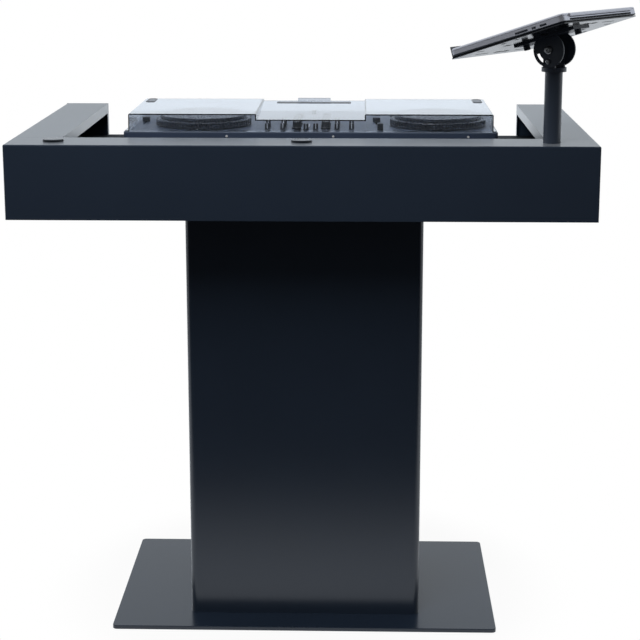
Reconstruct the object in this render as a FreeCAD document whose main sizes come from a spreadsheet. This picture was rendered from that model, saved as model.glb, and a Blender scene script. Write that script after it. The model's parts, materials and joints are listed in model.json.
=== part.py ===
"""DJ booth: steel column table with a laptop arm, a laptop, a two-deck controller and its dust cover.

Frame: millimetres, +Z up. The origin is the centre of the base on the floor. The audience side is -Y
and the player stands at +Y, where the tray is open. +X is to the right seen from the audience.
"""
import FreeCAD
import Part
import Sketcher
import os
import re

SIZES = {
    # Table top: folded sheet rails round a sunken tray
    "table_width": 1150,
    "table_depth": 728,
    "table_height": 1050,
    "apron_height": 147,
    "rail_width": 97,
    "front_rail_width": 112,
    "seam_gap": 0.4,
    "gauge": 2,
    "fold_radius": 3,
    "lip_height": 22,
    "hem_width": 18,
    "recess_depth": 73,
    "end_cap_thickness": 3,
    "end_cap_return": 12,
    "corner_plate_thickness": 3,
    "corner_plate_inset": 20,
    "corner_plate_reach": 26,
    # Base plate and column
    "base_width": 813,
    "base_depth": 506,
    "base_thickness": 8,
    "base_corner_radius": 10,
    "base_edge_radius": 1.2,
    "pad_radius": 20,
    "pad_thickness": 2,
    "pad_inset": 45,
    "column_width": 490,
    "column_depth": 361,
    "column_corner_radius": 14,
    "flange_thickness": 6,
    "flange_rim": 70,
    "window_margin": 60,
    "cover_overlap": 15,
    "cable_notch_width": 90,
    "cable_notch_height": 45,
    "head_plate_thickness": 5,
    "head_plate_rim": 8,
    "beam_height": 40,
    "beam_width": 30,
    "beam_wall": 2,
    "beam_offset": 80,
    # Fasteners and clearances
    "bolt_radius": 4,
    "bolt_head_radius": 6.5,
    "bolt_head_height": 8,
    "bolt_inset": 40,
    "screw_radius": 2,
    "screw_head_radius": 4,
    "screw_head_height": 2,
    "running_clearance": 0.1,
    "slide_clearance": 0.3,
    "rest_gap": 0.2,
    "overrun": 1,
    # Cable rings with lift-out caps, and the grommet in the tray floor
    "socket_pitch": 486,
    "ring_radius": 20.5,
    "ring_height": 2.5,
    "ring_bore": 14,
    "ring_wall": 3,
    "ring_depth": 10,
    "cap_radius": 17,
    "cap_height": 2,
    "cap_plug_length": 8,
    "grommet_radius": 27,
    "grommet_bore_radius": 19,
    "grommet_wall": 3,
    "grommet_height": 3,
    "grommet_setback": 209,
    # Laptop arm
    "pole_radius": 17,
    "pole_wall": 2,
    "pole_height": 138,
    "socket_wall": 3,
    "socket_foot_width": 60,
    "socket_foot_thickness": 3,
    "collar_radius": 24,
    "collar_height": 8,
    "spigot_length": 25,
    "pivot_height": 34,
    "pivot_radius": 4,
    "pivot_head_radius": 8,
    "pivot_head_height": 5,
    "yoke_half_width": 16,
    "yoke_thickness": 4,
    "yoke_arm_radius": 13,
    "ear_radius": 33,
    "ear_thickness": 3,
    "ear_gap": 0.5,
    "slot_radius": 24,
    "slot_half_width": 3.5,
    "slot_first_angle": 300,
    "slot_last_angle": 358,
    "head_gap": 23,
    "head_thickness": 4,
    "head_width": 62,
    "head_length": 134,
    "swivel_angle": 54.2,
    "tilt_angle": 17.8,
    # Laptop tray
    "tray_width": 292,
    "tray_length": 252,
    "tray_thickness": 2,
    "tray_corner_radius": 8,
    "tray_lip_height": 24,
    "tray_offset": 14.3,
    "tray_bolt_pitch": 116,
    "tray_knob_radius": 6.5,
    "tray_knob_height": 9,
    "grip_length": 70,
    "grip_width": 9,
    "grip_thickness": 1.2,
    # Laptop
    "laptop_width": 290,
    "laptop_depth": 251,
    "laptop_corner_radius": 9,
    "laptop_foot_radius": 7,
    "laptop_foot_height": 1.5,
    "laptop_foot_inset": 22,
    "case_height": 11,
    "lid_gap": 0.4,
    "lid_height": 4.5,
    "laptop_edge_radius": 1.6,
    "screen_border": 7,
    "screen_thickness": 0.8,
    "hinge_length": 240,
    "hinge_radius": 3.2,
    "hinge_notch": 4.4,
    "key_well_width": 268,
    "key_well_depth": 104,
    "key_well_setback": 16,
    "key_well_sink_depth": 1.2,
    "key_height": 1,
    "key_gap": 3,
    "touchpad_width": 124,
    "touchpad_depth": 76,
    "touchpad_setback": 12,
    "port_depth": 2,
    "port_height": 4,
    "vent_margin": 1.8,
    "vent_height": 3.6,
    # Controller
    "controller_width": 766,
    "controller_depth": 360,
    "controller_height": 66,
    "controller_foot_height": 6,
    "controller_foot_radius": 16,
    "controller_foot_inset": 40,
    "controller_wall": 2.5,
    "controller_corner_radius": 10,
    "controller_setback": 212,
    "controller_offset": 12,
    "panel_thickness": 3,
    "panel_edge_radius": 2,
    "board_thickness": 1.6,
    "board_height": 12,
    "post_radius": 5,
    "post_inset": 60,
    "jack_radius": 8,
    "jack_length": 7,
    "mixer_width": 222,
    # Controls
    "pitch_strip_width": 53.5,
    "pitch_inset": 25.5,
    "jog_side_margin": 17.5,
    "jog_near_margin": 27,
    "jog_mat_margin": 8,
    "jog_rim_height": 14,
    "jog_height": 22,
    "jog_step_width": 9,
    "jog_gap": 0.6,
    "jog_dimple_radius": 9,
    "jog_dimple_depth": 1.5,
    "spindle_radius": 8,
    "spindle_height": 15,
    "fader_cap_length": 16,
    "fader_cap_width": 10,
    "fader_cap_height": 9,
    "fader_stem_width": 4,
    "fader_stem_depth": 12,
    "pitch_travel": 45,
    "channel_travel": 22,
    "channel_pitch": 60,
    "channel_offset": 46,
    "cross_travel": 22,
    "cross_offset": 116,
    "knob_radius": 8,
    "knob_skirt_radius": 10,
    "knob_skirt_height": 4,
    "knob_height": 16,
    "knob_stem_radius": 3,
    "knob_stem_depth": 10,
    "knob_pitch": 60,
    "knob_row_gap": 38,
    "knob_first_offset": 128,
    "button_radius": 13,
    "button_height": 3,
    "button_depth": 5,
    "button_inset": 40.5,
    "button_first_offset": 84,
    "button_gap": 30,
    "button_strip_width": 84.5,
    "mat_side_margin": 3,
    "mat_depth": 46,
    "mat_thickness": 1.5,
    "mat_offset": 79,
    "pad_height": 3,
    "pad_gap": 5,
    # Clear dust cover
    "cover_wall": 2.5,
    "cover_edge_radius": 3,
    "cover_margin": 9,
    "cover_deck_height": 35,
    "cover_mixer_height": 23.5,
    "cover_mixer_far_height": 31.5,
    "cover_near_draft_width": 3,
    "cover_far_slope_width": 48,
    "cover_flange_width": 5,
    "cover_flange_height": 2,
}

# Shares of a piece's own size, chosen by hand
PAD_SHARES = ((-1, -1), (0, -1), (1, -1), (0, 0), (-1, 1), (0, 1), (1, 1))
SCREW_ROW_SHARES = (-1, 0, 1)
TRAY_SLOT_SHARES = (
    # across, along, length and width: shares of the tray's width and length
    (0.25, 0.16, 0.085, 0.036),
    (0.05, 0.40, 0.085, 0.036),
    (0.25, 0.40, 0.160, 0.018),
    (0.44, 0.06, 0.050, 0.036),
    (0.41, 0.29, 0.085, 0.018),
)
PORT_SHARES = (
    # distance from the hinge and length: shares of the laptop's depth
    (0.17, 0.058),
    (0.25, 0.036),
    (0.36, 0.110),
)
GRIP_SHARES = (0.25, 0.28)
DIMPLE_SHARE = 0.7
JACK_SHARES = (-0.40, -0.33, -0.26, -0.12, -0.05, 0.05, 0.12, 0.26, 0.33, 0.40)
KEY_ROWS = 5
KEY_COLUMNS = 14
PAD_COLUMNS = 4
PAD_ROWS = 2

# Levels and lines that several pieces share
FRONT = "(-table_depth/2)"
BACK = "(table_depth/2)"
SIDE = "(table_width/2)"
RAIL_FOOT = "(table_height - apron_height)"
TRAY_TOP = "(table_height - recess_depth)"
COLUMN_FOOT = "(pad_thickness + base_thickness)"
COLUMN_TOP = "(table_height - recess_depth - gauge - beam_height - head_plate_thickness)"
RING_LINE = "(front_rail_width/2 - table_depth/2)"
SEAM = "(front_rail_width - table_depth/2)"
GROMMET_LINE = "(grommet_setback - table_depth/2)"
PIVOT_LEVEL = "(table_height + pole_height + collar_height + pivot_height)"
EAR_INNER = "(yoke_half_width + yoke_thickness + ear_gap)"
EAR_OUTER = "(yoke_half_width + yoke_thickness + ear_gap + ear_thickness)"
TRAY_SEAT = "(head_gap + head_thickness)"
LAPTOP_FOOT = "(head_gap + head_thickness + tray_thickness + rest_gap)"
LAPTOP_FRONT = "(tray_offset + tray_length/2 - tray_thickness - rest_gap)"
LAPTOP_BACK = f"({LAPTOP_FRONT} - laptop_depth)"
CASE_FOOT = f"({LAPTOP_FOOT} + laptop_foot_height)"
CASE_TOP = f"({CASE_FOOT} + case_height)"
LID_FOOT = f"({CASE_TOP} + lid_gap)"
PANEL_TOP = "(controller_foot_height + controller_height)"
PANEL_FOOT = "(controller_foot_height + controller_height - panel_thickness)"
DECK_WIDTH = "(controller_width/2 - mixer_width/2)"
MAT_NEAR = "(mat_offset - mat_depth/2)"
JOG_RADIUS = (
    f"min(({DECK_WIDTH} - pitch_strip_width - jog_side_margin)/2;"
    f" (controller_depth/2 - jog_near_margin + {MAT_NEAR} - jog_mat_margin)/2)"
)
JOG_ALONG = f"(({MAT_NEAR} - jog_mat_margin - controller_depth/2 + jog_near_margin)/2)"

ARM_PLACE = (
    f"placement(vector(socket_pitch; {RING_LINE}; {PIVOT_LEVEL});"
    " rotation(vector(0; 0; 1); swivel_angle))"
)
HEAD_PLACE = (
    f"placement(vector(socket_pitch; {RING_LINE}; {PIVOT_LEVEL});"
    " rotation(vector(0; 0; 1); swivel_angle) * rotation(vector(1; 0; 0); -tilt_angle))"
)
CONTROLLER_PLACE = (
    f"placement(vector(controller_offset; {FRONT} + controller_setback + controller_depth/2;"
    f" {TRAY_TOP} + rest_gap); rotation(vector(0; 0; 1); 0))"
)

TURNS = {
    "x": FreeCAD.Rotation(FreeCAD.Vector(0, 1, 0), 90),
    "y": FreeCAD.Rotation(FreeCAD.Vector(1, 0, 0), -90),
    "z": FreeCAD.Rotation(),
}
WORD = re.compile(r"[a-z][a-z_]*")
TINY = 1e-6

doc = FreeCAD.newDocument("dj_booth")
cells = doc.addObject("Spreadsheet::Sheet", "Sizes")
for row, (alias, value) in enumerate(SIZES.items(), start=1):
    cells.set(f"A{row}", alias)
    cells.set(f"B{row}", str(value))
    cells.setAlias(f"B{row}", alias)
doc.recompute()

subparts = []


def bound(text):
    """An expression in which every named size reads its cell of the sheet."""
    return WORD.sub(lambda word: f"Sizes.{word.group()}" if word.group() in SIZES else word.group(), text)


def bind(thing, **sizes):
    """Ties each property to an expression of named sizes."""
    for name, text in sizes.items():
        thing.setExpression(name, bound(text))


def bind_base(thing, point):
    for letter, text in zip("xyz", point):
        thing.setExpression(f"Placement.Base.{letter}", bound(text))


def spans(low, high):
    return [f"({top}) - ({bottom})" for bottom, top in zip(low, high)]


class Piece:
    """One solid sub-part: a body that grows feature by feature."""

    def __init__(self, label, place=None):
        self.body = doc.addObject("PartDesign::Body", label)
        self.body.Label = label
        if place:
            self.body.setExpression("Placement", bound(place))
        subparts.append(self.body)

    def finish(self, feature, cut):
        """Rebuilds, and makes sure that a cut takes material away."""
        before = self.volume if cut else 0
        doc.recompute()
        self.volume = feature.Shape.Volume
        if cut and not self.volume < before:
            raise ValueError(f"{self.body.Label}: {feature.Name} cuts nothing")
        return self

    def block(self, low, high, cut=False):
        """A box between two corners."""
        kind = "PartDesign::SubtractiveBox" if cut else "PartDesign::AdditiveBox"
        feature = self.body.newObject(kind, "Block")
        length, width, height = spans(low, high)
        bind(feature, Length=length, Width=width, Height=height)
        bind_base(feature, low)
        return self.finish(feature, cut)

    def rod(self, radius, length, foot, along="z", cut=False):
        """A cylinder from its foot's centre along one axis."""
        kind = "PartDesign::SubtractiveCylinder" if cut else "PartDesign::AdditiveCylinder"
        feature = self.body.newObject(kind, "Rod")
        feature.Placement = FreeCAD.Placement(FreeCAD.Vector(), TURNS[along])
        bind(feature, Radius=radius, Height=length)
        bind_base(feature, foot)
        return self.finish(feature, cut)

    def sketch(self, plane, start):
        """An empty sketch on one of the body's own planes, moved along the plane's axis to start."""
        sketch = self.body.newObject("Sketcher::SketchObject", "Outline")
        origin = self.body.Origin.OriginFeatures
        sketch.AttachmentSupport = [(next(f for f in origin if f.Role == f"{plane}_Plane"), "")]
        sketch.MapMode = "FlatFace"
        offset = f"-({start})" if plane == "XZ" else start
        sketch.setExpression("AttachmentOffset.Base.z", bound(offset))
        return sketch

    def carry(self, sketch, plane, length, cut):
        """Pads or pockets a sketch towards the positive end of the plane's axis."""
        feature = self.body.newObject("PartDesign::Pocket" if cut else "PartDesign::Pad", "Carry")
        feature.Profile = sketch
        feature.Reversed = (plane == "XZ") != cut
        bind(feature, Length=length)
        return self.finish(feature, cut)

    def prism(self, plane, points, start, length, cut=False):
        """A straight-sided outline, as (across, up) in named sizes, carried along the plane's axis."""
        sketch = self.sketch(plane, start)
        draw_lines(sketch, points)
        return self.carry(sketch, plane, length, cut)

    def slab(self, low, high, radius, cut=False):
        """A flat block with rounded upright corners."""
        sketch = self.sketch("XY", low[2])
        draw_rounded(sketch, low, high, radius)
        return self.carry(sketch, "XY", spans(low, high)[2], cut)

    def arc_slot(self, start, length):
        """The curved tilt slot of an ear: two arcs about the pivot and two straight ends."""
        sketch = self.sketch("YZ", start)
        draw_arc_slot(sketch)
        return self.carry(sketch, "YZ", length, True)

    def round(self, radius, pick):
        """Rounds the edges that pick chooses."""
        tip = self.body.Tip
        feature = self.body.newObject("PartDesign::Fillet", "Round")
        names = [f"Edge{n}" for n, edge in enumerate(tip.Shape.Edges, start=1) if pick(edge.BoundBox)]
        feature.Base = (tip, names)
        bind(feature, Radius=radius)
        return self.finish(feature, False)


def hold(sketch, index, end, point):
    """Ties an end of a sketch line or arc to a place in named sizes."""
    for kind, text in zip(("DistanceX", "DistanceY"), point):
        number = sketch.addConstraint(Sketcher.Constraint(kind, -1, 1, index, end, number_of(text)))
        sketch.setExpression(f"Constraints[{number}]", bound(text))


def number_of(text):
    """The value that an expression of named sizes has now."""
    return float(cells.evalExpression(text))


def at(point):
    return FreeCAD.Vector(number_of(point[0]), number_of(point[1]), 0)


def draw_lines(sketch, points):
    following = points[1:] + points[:1]
    lines = [sketch.addGeometry(Part.LineSegment(at(a), at(b))) for a, b in zip(points, following)]
    for line, next_line, point in zip(lines, lines[1:] + lines[:1], points):
        sketch.addConstraint(Sketcher.Constraint("Coincident", line, 2, next_line, 1))
        hold(sketch, line, 1, point)


def join_with_arcs(sketch, lines, arcs):
    """Draws the lines, then arcs (centre, radius, from line's end, to line's start), tied end to end."""
    for start, end in lines:
        index = sketch.addGeometry(Part.LineSegment(at(start), at(end)))
        hold(sketch, index, 1, start)
        hold(sketch, index, 2, end)
    for centre, radius, (line_a, end_a), (line_b, end_b) in arcs:
        ends = [at(lines[line][end - 1]) - at(centre) for line, end in ((line_a, end_a), (line_b, end_b))]
        circle = Part.Circle(at(centre), FreeCAD.Vector(0, 0, 1), number_of(radius))
        first, last = (circle.parameter(at(centre) + end) for end in ends)
        index = sketch.addGeometry(Part.ArcOfCircle(circle, first, last))
        sketch.addConstraint(Sketcher.Constraint("Coincident", index, 1, line_a, end_a))
        sketch.addConstraint(Sketcher.Constraint("Coincident", index, 2, line_b, end_b))
        number = sketch.addConstraint(Sketcher.Constraint("Radius", index, number_of(radius)))
        sketch.setExpression(f"Constraints[{number}]", bound(radius))


def draw_rounded(sketch, low, high, radius):
    x0, y0, x1, y1 = low[0], low[1], high[0], high[1]
    left, right = f"({x0}) + ({radius})", f"({x1}) - ({radius})"
    near, far = f"({y0}) + ({radius})", f"({y1}) - ({radius})"
    lines = [
        ((left, y0), (right, y0)),
        ((x1, near), (x1, far)),
        ((right, y1), (left, y1)),
        ((x0, far), (x0, near)),
    ]
    arcs = [
        ((right, near), radius, (0, 2), (1, 1)),
        ((right, far), radius, (1, 2), (2, 1)),
        ((left, far), radius, (2, 2), (3, 1)),
        ((left, near), radius, (3, 2), (0, 1)),
    ]
    join_with_arcs(sketch, lines, arcs)


def draw_arc_slot(sketch):
    inner, outer = "(slot_radius - slot_half_width)", "(slot_radius + slot_half_width)"

    def on(radius, angle):
        return f"{radius}*cos({angle})", f"{radius}*sin({angle})"

    lines = [
        (on(inner, "slot_first_angle"), on(outer, "slot_first_angle")),
        (on(outer, "slot_last_angle"), on(inner, "slot_last_angle")),
    ]
    arcs = [
        (("0", "0"), outer, (0, 2), (1, 1)),
        (("0", "0"), inner, (0, 1), (1, 2)),
    ]
    join_with_arcs(sketch, lines, arcs)


def part_block(low, high):
    """A box between two corners, for a group."""
    box = doc.addObject("Part::Box", "GroupBlock")
    length, width, height = spans(low, high)
    bind(box, Length=length, Width=width, Height=height)
    bind_base(box, low)
    return box


def part_rod(radius, length, foot, along="z"):
    """A cylinder, for a group."""
    rod = doc.addObject("Part::Cylinder", "GroupRod")
    rod.Placement = FreeCAD.Placement(FreeCAD.Vector(), TURNS[along])
    bind(rod, Radius=radius, Height=length)
    bind_base(rod, foot)
    return rod


def merged(*members):
    whole = doc.addObject("Part::MultiFuse", "GroupMerged")
    whole.Shapes = list(members)
    return whole


def pierced(solid, *holes):
    whole = doc.addObject("Part::Cut", "GroupPierced")
    whole.Base = solid
    whole.Tool = holes[0] if len(holes) == 1 else merged(*holes)
    return whole


def group(label, members, place=None):
    """Separate like solids in one sub-part."""
    whole = doc.addObject("Part::Compound", label)
    whole.Label = label
    whole.Links = members
    if place:
        whole.setExpression("Placement", bound(place))
    subparts.append(whole)


def flat_at(level):
    """Picks the level edges at a height."""
    height = number_of(level)
    return lambda box: box.ZLength < TINY and abs(box.ZMin - height) < TINY


def both_signs(size):
    return f"-({size})", f"({size})"


def corners(across, along):
    """The four places at plus and minus two sizes."""
    return [(x, y) for x in both_signs(across) for y in both_signs(along)]


COLUMN_BOLTS = corners("column_width/2 - bolt_inset", "column_depth/2 - bolt_inset")
BEAM_BOLTS = corners("column_width/2 - bolt_inset", "beam_offset")
COVER_HALF = "(column_width/2 - window_margin + cover_overlap)"
COVER_FOOT = f"({COLUMN_FOOT} + window_margin - cover_overlap)"
COVER_TOP = f"({COLUMN_TOP} - window_margin + cover_overlap)"
COVER_SCREWS = [
    (x, f"({COVER_FOOT} + {COVER_TOP})/2 + {share}*(({COVER_TOP} - {COVER_FOOT})/2 - cover_overlap/2)")
    for x in both_signs(f"{COVER_HALF} - cover_overlap/2")
    for share in SCREW_ROW_SHARES
]


def base_plate():
    """Thick steel plate with small rounded corners, on thin rubber pads."""
    plate = Piece("base_plate")
    low = ("-base_width/2", "-base_depth/2", "pad_thickness")
    plate.slab(low, ("base_width/2", "base_depth/2", COLUMN_FOOT), "base_corner_radius")
    plate.round("base_edge_radius", flat_at(COLUMN_FOOT))
    for x, y in COLUMN_BOLTS:
        plate.rod("bolt_radius", "base_thickness", (x, y, "pad_thickness"), cut=True)
    across, along = "(base_width/2 - pad_inset)", "(base_depth/2 - pad_inset)"
    pads = [
        part_rod("pad_radius", "pad_thickness", (f"{x_share}*{across}", f"{y_share}*{along}", "0"))
        for x_share, y_share in PAD_SHARES
    ]
    group("floor_pads", pads)


def column_outline(inset, foot, top):
    """Low and high corners of the column's section, drawn in by inset."""
    low = (f"{inset} - column_width/2", f"{inset} - column_depth/2", foot)
    return low, (f"column_width/2 - {inset}", f"column_depth/2 - {inset}", top)


def column():
    """Hollow sheet column with a covered window at the player's side, foot flange and head plate."""
    shell = Piece("column_shell")
    shell.slab(*column_outline("0", COLUMN_FOOT, COLUMN_TOP), "column_corner_radius")
    inside = column_outline("gauge", f"{COLUMN_FOOT} - overrun", f"{COLUMN_TOP} + overrun")
    shell.slab(*inside, "(column_corner_radius - gauge)", cut=True)
    window = "(column_width/2 - window_margin)"
    low = (f"-{window}", "column_depth/2 - gauge - overrun", f"{COLUMN_FOOT} + window_margin")
    shell.block(low, (window, "column_depth/2 + overrun", f"{COLUMN_TOP} - window_margin"), cut=True)

    cover = Piece("column_rear_cover")
    low = (f"-{COVER_HALF}", "column_depth/2", COVER_FOOT)
    cover.block(low, (COVER_HALF, "column_depth/2 + gauge", COVER_TOP))
    low = ("-cable_notch_width/2", "column_depth/2 - overrun", f"{COVER_FOOT} - overrun")
    high = ("cable_notch_width/2", "column_depth/2 + gauge + overrun", f"{COVER_FOOT} + cable_notch_height")
    cover.block(low, high, cut=True)
    for x, z in COVER_SCREWS:
        shell.rod("screw_radius", "gauge + overrun", (x, "column_depth/2 - gauge", z), "y", cut=True)
        cover.rod("screw_radius", "gauge + overrun", (x, "column_depth/2", z), "y", cut=True)

    flange = Piece("foot_flange")
    flange_top = f"({COLUMN_FOOT} + flange_thickness)"
    flange.slab(*column_outline("gauge", COLUMN_FOOT, flange_top), "(column_corner_radius - gauge)")
    rim = "(gauge + flange_rim)"
    flange.block(*column_outline(rim, f"{COLUMN_FOOT} - overrun", f"{flange_top} + overrun"), cut=True)
    for x, y in COLUMN_BOLTS:
        flange.rod("bolt_radius", "flange_thickness", (x, y, COLUMN_FOOT), cut=True)

    plate = Piece("head_plate")
    plate_top = f"({COLUMN_TOP} + head_plate_thickness)"
    plate.slab(*column_outline("0", COLUMN_TOP, plate_top), "column_corner_radius")
    half_x, half_y = "(column_width/2 - flange_rim)", "(column_depth/2 - head_plate_rim)"
    low = (f"-{half_x}", f"-{half_y}", f"{COLUMN_TOP} - overrun")
    plate.block(low, (half_x, half_y, f"{plate_top} + overrun"), cut=True)
    for x, y in BEAM_BOLTS:
        plate.rod("bolt_radius", "head_plate_thickness", (x, y, COLUMN_TOP), cut=True)


def column_bolts():
    """Bolts from the flange into the base, and from the head plate into the beams."""
    seat = f"({COLUMN_FOOT} + flange_thickness)"
    bolts = [
        merged(
            part_rod("bolt_head_radius", "bolt_head_height", (x, y, seat)),
            part_rod("bolt_radius", "flange_thickness + base_thickness", (x, y, "pad_thickness")),
        )
        for x, y in COLUMN_BOLTS
    ]
    for x, y in BEAM_BOLTS:
        head = part_rod("bolt_head_radius", "bolt_head_height", (x, y, f"{COLUMN_TOP} - bolt_head_height"))
        shank = part_rod("bolt_radius", "head_plate_thickness + beam_wall", (x, y, COLUMN_TOP))
        bolts.append(merged(head, shank))
    group("column_bolts", bolts)


def panel_screws():
    """Screws of the rear cover, and the set screw that clamps the arm's pole in its socket."""
    face = "column_depth/2 + gauge"
    screws = [
        merged(
            part_rod("screw_head_radius", "screw_head_height", (x, face, z), "y"),
            part_rod("screw_radius", "2*gauge", (x, "column_depth/2 - gauge", z), "y"),
        )
        for x, z in COVER_SCREWS
    ]
    wall = f"({RING_LINE} + pole_radius + running_clearance)"
    level = f"({TRAY_TOP} + table_height)/2"
    shank = part_rod("screw_radius", "socket_wall", ("socket_pitch", wall, level), "y")
    head_foot = ("socket_pitch", f"{wall} + socket_wall", level)
    head = part_rod("screw_head_radius", "screw_head_height", head_foot, "y")
    screws.append(merged(shank, head))
    group("panel_screws", screws)


def rail_section(outer, inward, width):
    """A rail's folded section: outer wall, top, inner lip and bottom hem; inward is +1 or -1."""

    def step(size):
        return f"{outer} + {inward}*({size})"

    return [
        (outer, RAIL_FOOT),
        (outer, "table_height"),
        (step(width), "table_height"),
        (step(width), "table_height - lip_height"),
        (step(f"{width} - gauge"), "table_height - lip_height"),
        (step(f"{width} - gauge"), "table_height - gauge"),
        (step("gauge"), "table_height - gauge"),
        (step("gauge"), f"{RAIL_FOOT} + gauge"),
        (step("hem_width"), f"{RAIL_FOOT} + gauge"),
        (step("hem_width"), RAIL_FOOT),
    ]


def rails():
    """The front rail runs the full width; the side rails butt against it and end in flat caps."""
    front = Piece("front_rail")
    front.prism("YZ", rail_section(FRONT, 1, "front_rail_width"), f"-{SIDE}", "table_width")
    for low_x, high_x in ((f"-{SIDE}", f"gauge - {SIDE}"), (f"{SIDE} - gauge", SIDE)):
        front.block((low_x, FRONT, RAIL_FOOT), (high_x, SEAM, "table_height"))
    left_mouth = (f"gauge - {SIDE}", f"rail_width - {SIDE}")
    right_mouth = (f"{SIDE} - rail_width", f"{SIDE} - gauge")
    for low_x, high_x in (left_mouth, right_mouth):
        low = (low_x, f"{SEAM} - gauge", "table_height - lip_height - overrun")
        front.block(low, (high_x, f"{SEAM} + overrun", "table_height - gauge"), cut=True)
    ring_hole = "(ring_bore + ring_wall)"
    pole_hole = "(pole_radius + running_clearance)"
    for x, radius in (("-socket_pitch", ring_hole), ("0", ring_hole), ("socket_pitch", pole_hole)):
        front.rod(radius, "gauge + overrun", (x, RING_LINE, "table_height - gauge"), cut=True)
    half, depth, top = number_of(SIDE), number_of(FRONT), number_of("table_height")

    def outer_fold(box):
        on_front = abs(box.YMax - depth) < TINY
        on_top = abs(box.ZMin - top) < TINY
        on_end = abs(abs(box.XMin) - half) < TINY and box.XLength < TINY
        return on_front and (on_top or (on_end and box.ZMax > top - TINY)) or on_top and on_end

    front.round("fold_radius", outer_fold)

    for label, outer, inward in (("left_rail", f"-{SIDE}", 1), ("right_rail", SIDE, -1)):
        rail = Piece(label)
        length = "table_depth - front_rail_width - seam_gap - end_cap_thickness"
        rail.prism("XZ", rail_section(outer, inward, "rail_width"), f"{SEAM} + seam_gap", length)

        def top_fold(box):
            return abs(box.ZMin - top) < TINY and abs(abs(box.XMin) - half) < TINY and box.XLength < TINY

        rail.round("fold_radius", top_fold)

    caps = []
    plates = []
    for sign in (-1, 1):
        outer, inner = f"{sign}*{SIDE}", f"{sign}*({SIDE} - rail_width)"
        web = f"{sign}*({SIDE} - rail_width + gauge)"
        low_x, high_x = (outer, inner) if sign < 0 else (inner, outer)
        cap = part_block((low_x, f"{BACK} - end_cap_thickness", RAIL_FOOT), (high_x, BACK, "table_height"))
        low_x, high_x = (web, inner) if sign < 0 else (inner, web)
        low = (low_x, f"{BACK} - end_cap_thickness - end_cap_return", TRAY_TOP)
        fold = part_block(low, (high_x, f"{BACK} - end_cap_thickness", "table_height - lip_height"))
        caps.append(merged(cap, fold))
        inner = f"{sign}*({SIDE} - rail_width + corner_plate_inset)"
        outer = f"{sign}*({SIDE} - corner_plate_inset)"
        low_x, high_x = (outer, inner) if sign < 0 else (inner, outer)
        low = (low_x, f"{SEAM} - corner_plate_reach", "table_height - gauge - corner_plate_thickness")
        plates.append(part_block(low, (high_x, f"{SEAM} + corner_plate_reach", "table_height - gauge")))
    group("rail_end_caps", caps)
    group("corner_plates", plates)


def tray():
    """An upturned sheet pan is the tray's floor; two tubes under it carry it on the column."""
    floor = Piece("tray_floor")
    low = (f"gauge - {SIDE}", f"{FRONT} + gauge", f"{RAIL_FOOT} + gauge")
    high = (f"{SIDE} - gauge", f"{BACK} - end_cap_thickness", TRAY_TOP)
    floor.block(low, high)
    low = (f"2*gauge - {SIDE}", f"{FRONT} + 2*gauge", f"{RAIL_FOOT} + gauge - overrun")
    high = (f"{SIDE} - 2*gauge", f"{BACK} - end_cap_thickness - gauge", f"{TRAY_TOP} - gauge")
    floor.block(low, high, cut=True)
    hole = "(grommet_bore_radius + grommet_wall)"
    floor.rod(hole, "gauge + overrun", ("0", GROMMET_LINE, f"{TRAY_TOP} - gauge"), cut=True)

    grommet = Piece("tray_grommet")
    grommet.rod("grommet_radius", "grommet_height", ("0", GROMMET_LINE, TRAY_TOP))
    grommet.rod(hole, "gauge + grommet_height", ("0", GROMMET_LINE, f"{TRAY_TOP} - gauge"))
    bore_foot = ("0", GROMMET_LINE, f"{TRAY_TOP} - gauge - overrun")
    grommet.rod("grommet_bore_radius", "gauge + grommet_height + 2*overrun", bore_foot, cut=True)

    beam_top, beam_foot = f"{TRAY_TOP} - gauge", f"{TRAY_TOP} - gauge - beam_height"
    beams = []
    for y in both_signs("beam_offset"):
        low = (f"2*gauge - {SIDE}", f"{y} - beam_width/2", beam_foot)
        outside = part_block(low, (f"{SIDE} - 2*gauge", f"{y} + beam_width/2", beam_top))
        low = (f"2*gauge - {SIDE} - overrun", f"{y} - beam_width/2 + beam_wall", f"{beam_foot} + beam_wall")
        high = (f"{SIDE} - 2*gauge + overrun", f"{y} + beam_width/2 - beam_wall", f"{beam_top} - beam_wall")
        holes = [
            part_rod("bolt_radius", "beam_wall", (x, y, beam_foot))
            for x in both_signs("column_width/2 - bolt_inset")
        ]
        beams.append(pierced(outside, part_block(low, high), *holes))
    group("floor_beams", beams)


def cable_rings():
    """Two flanged rings in the front rail, each closed by a cap that lifts out."""
    rings = []
    for label, x in (("left", "-socket_pitch"), ("centre", "0")):
        flange = part_rod("ring_radius", "ring_height", (x, RING_LINE, "table_height"))
        sleeve_foot = (x, RING_LINE, "table_height - ring_depth")
        sleeve = part_rod("ring_bore + ring_wall", "ring_depth", sleeve_foot)
        bore_foot = "table_height - ring_depth - overrun"
        bore = part_rod("ring_bore", "ring_depth + ring_height + 2*overrun", (x, RING_LINE, bore_foot))
        rings.append(pierced(merged(flange, sleeve), bore))
        cap = Piece(f"cable_cap_{label}")
        seat = "table_height + ring_height + rest_gap"
        cap.rod("cap_radius", "cap_height", (x, RING_LINE, seat))
        plug_foot = (x, RING_LINE, f"{seat} - cap_plug_length")
        cap.rod("ring_bore - slide_clearance", "cap_plug_length", plug_foot)
        cap.round("cap_height/2", flat_at(f"{seat} + cap_height"))
    group("grommet_rings", rings)


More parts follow.
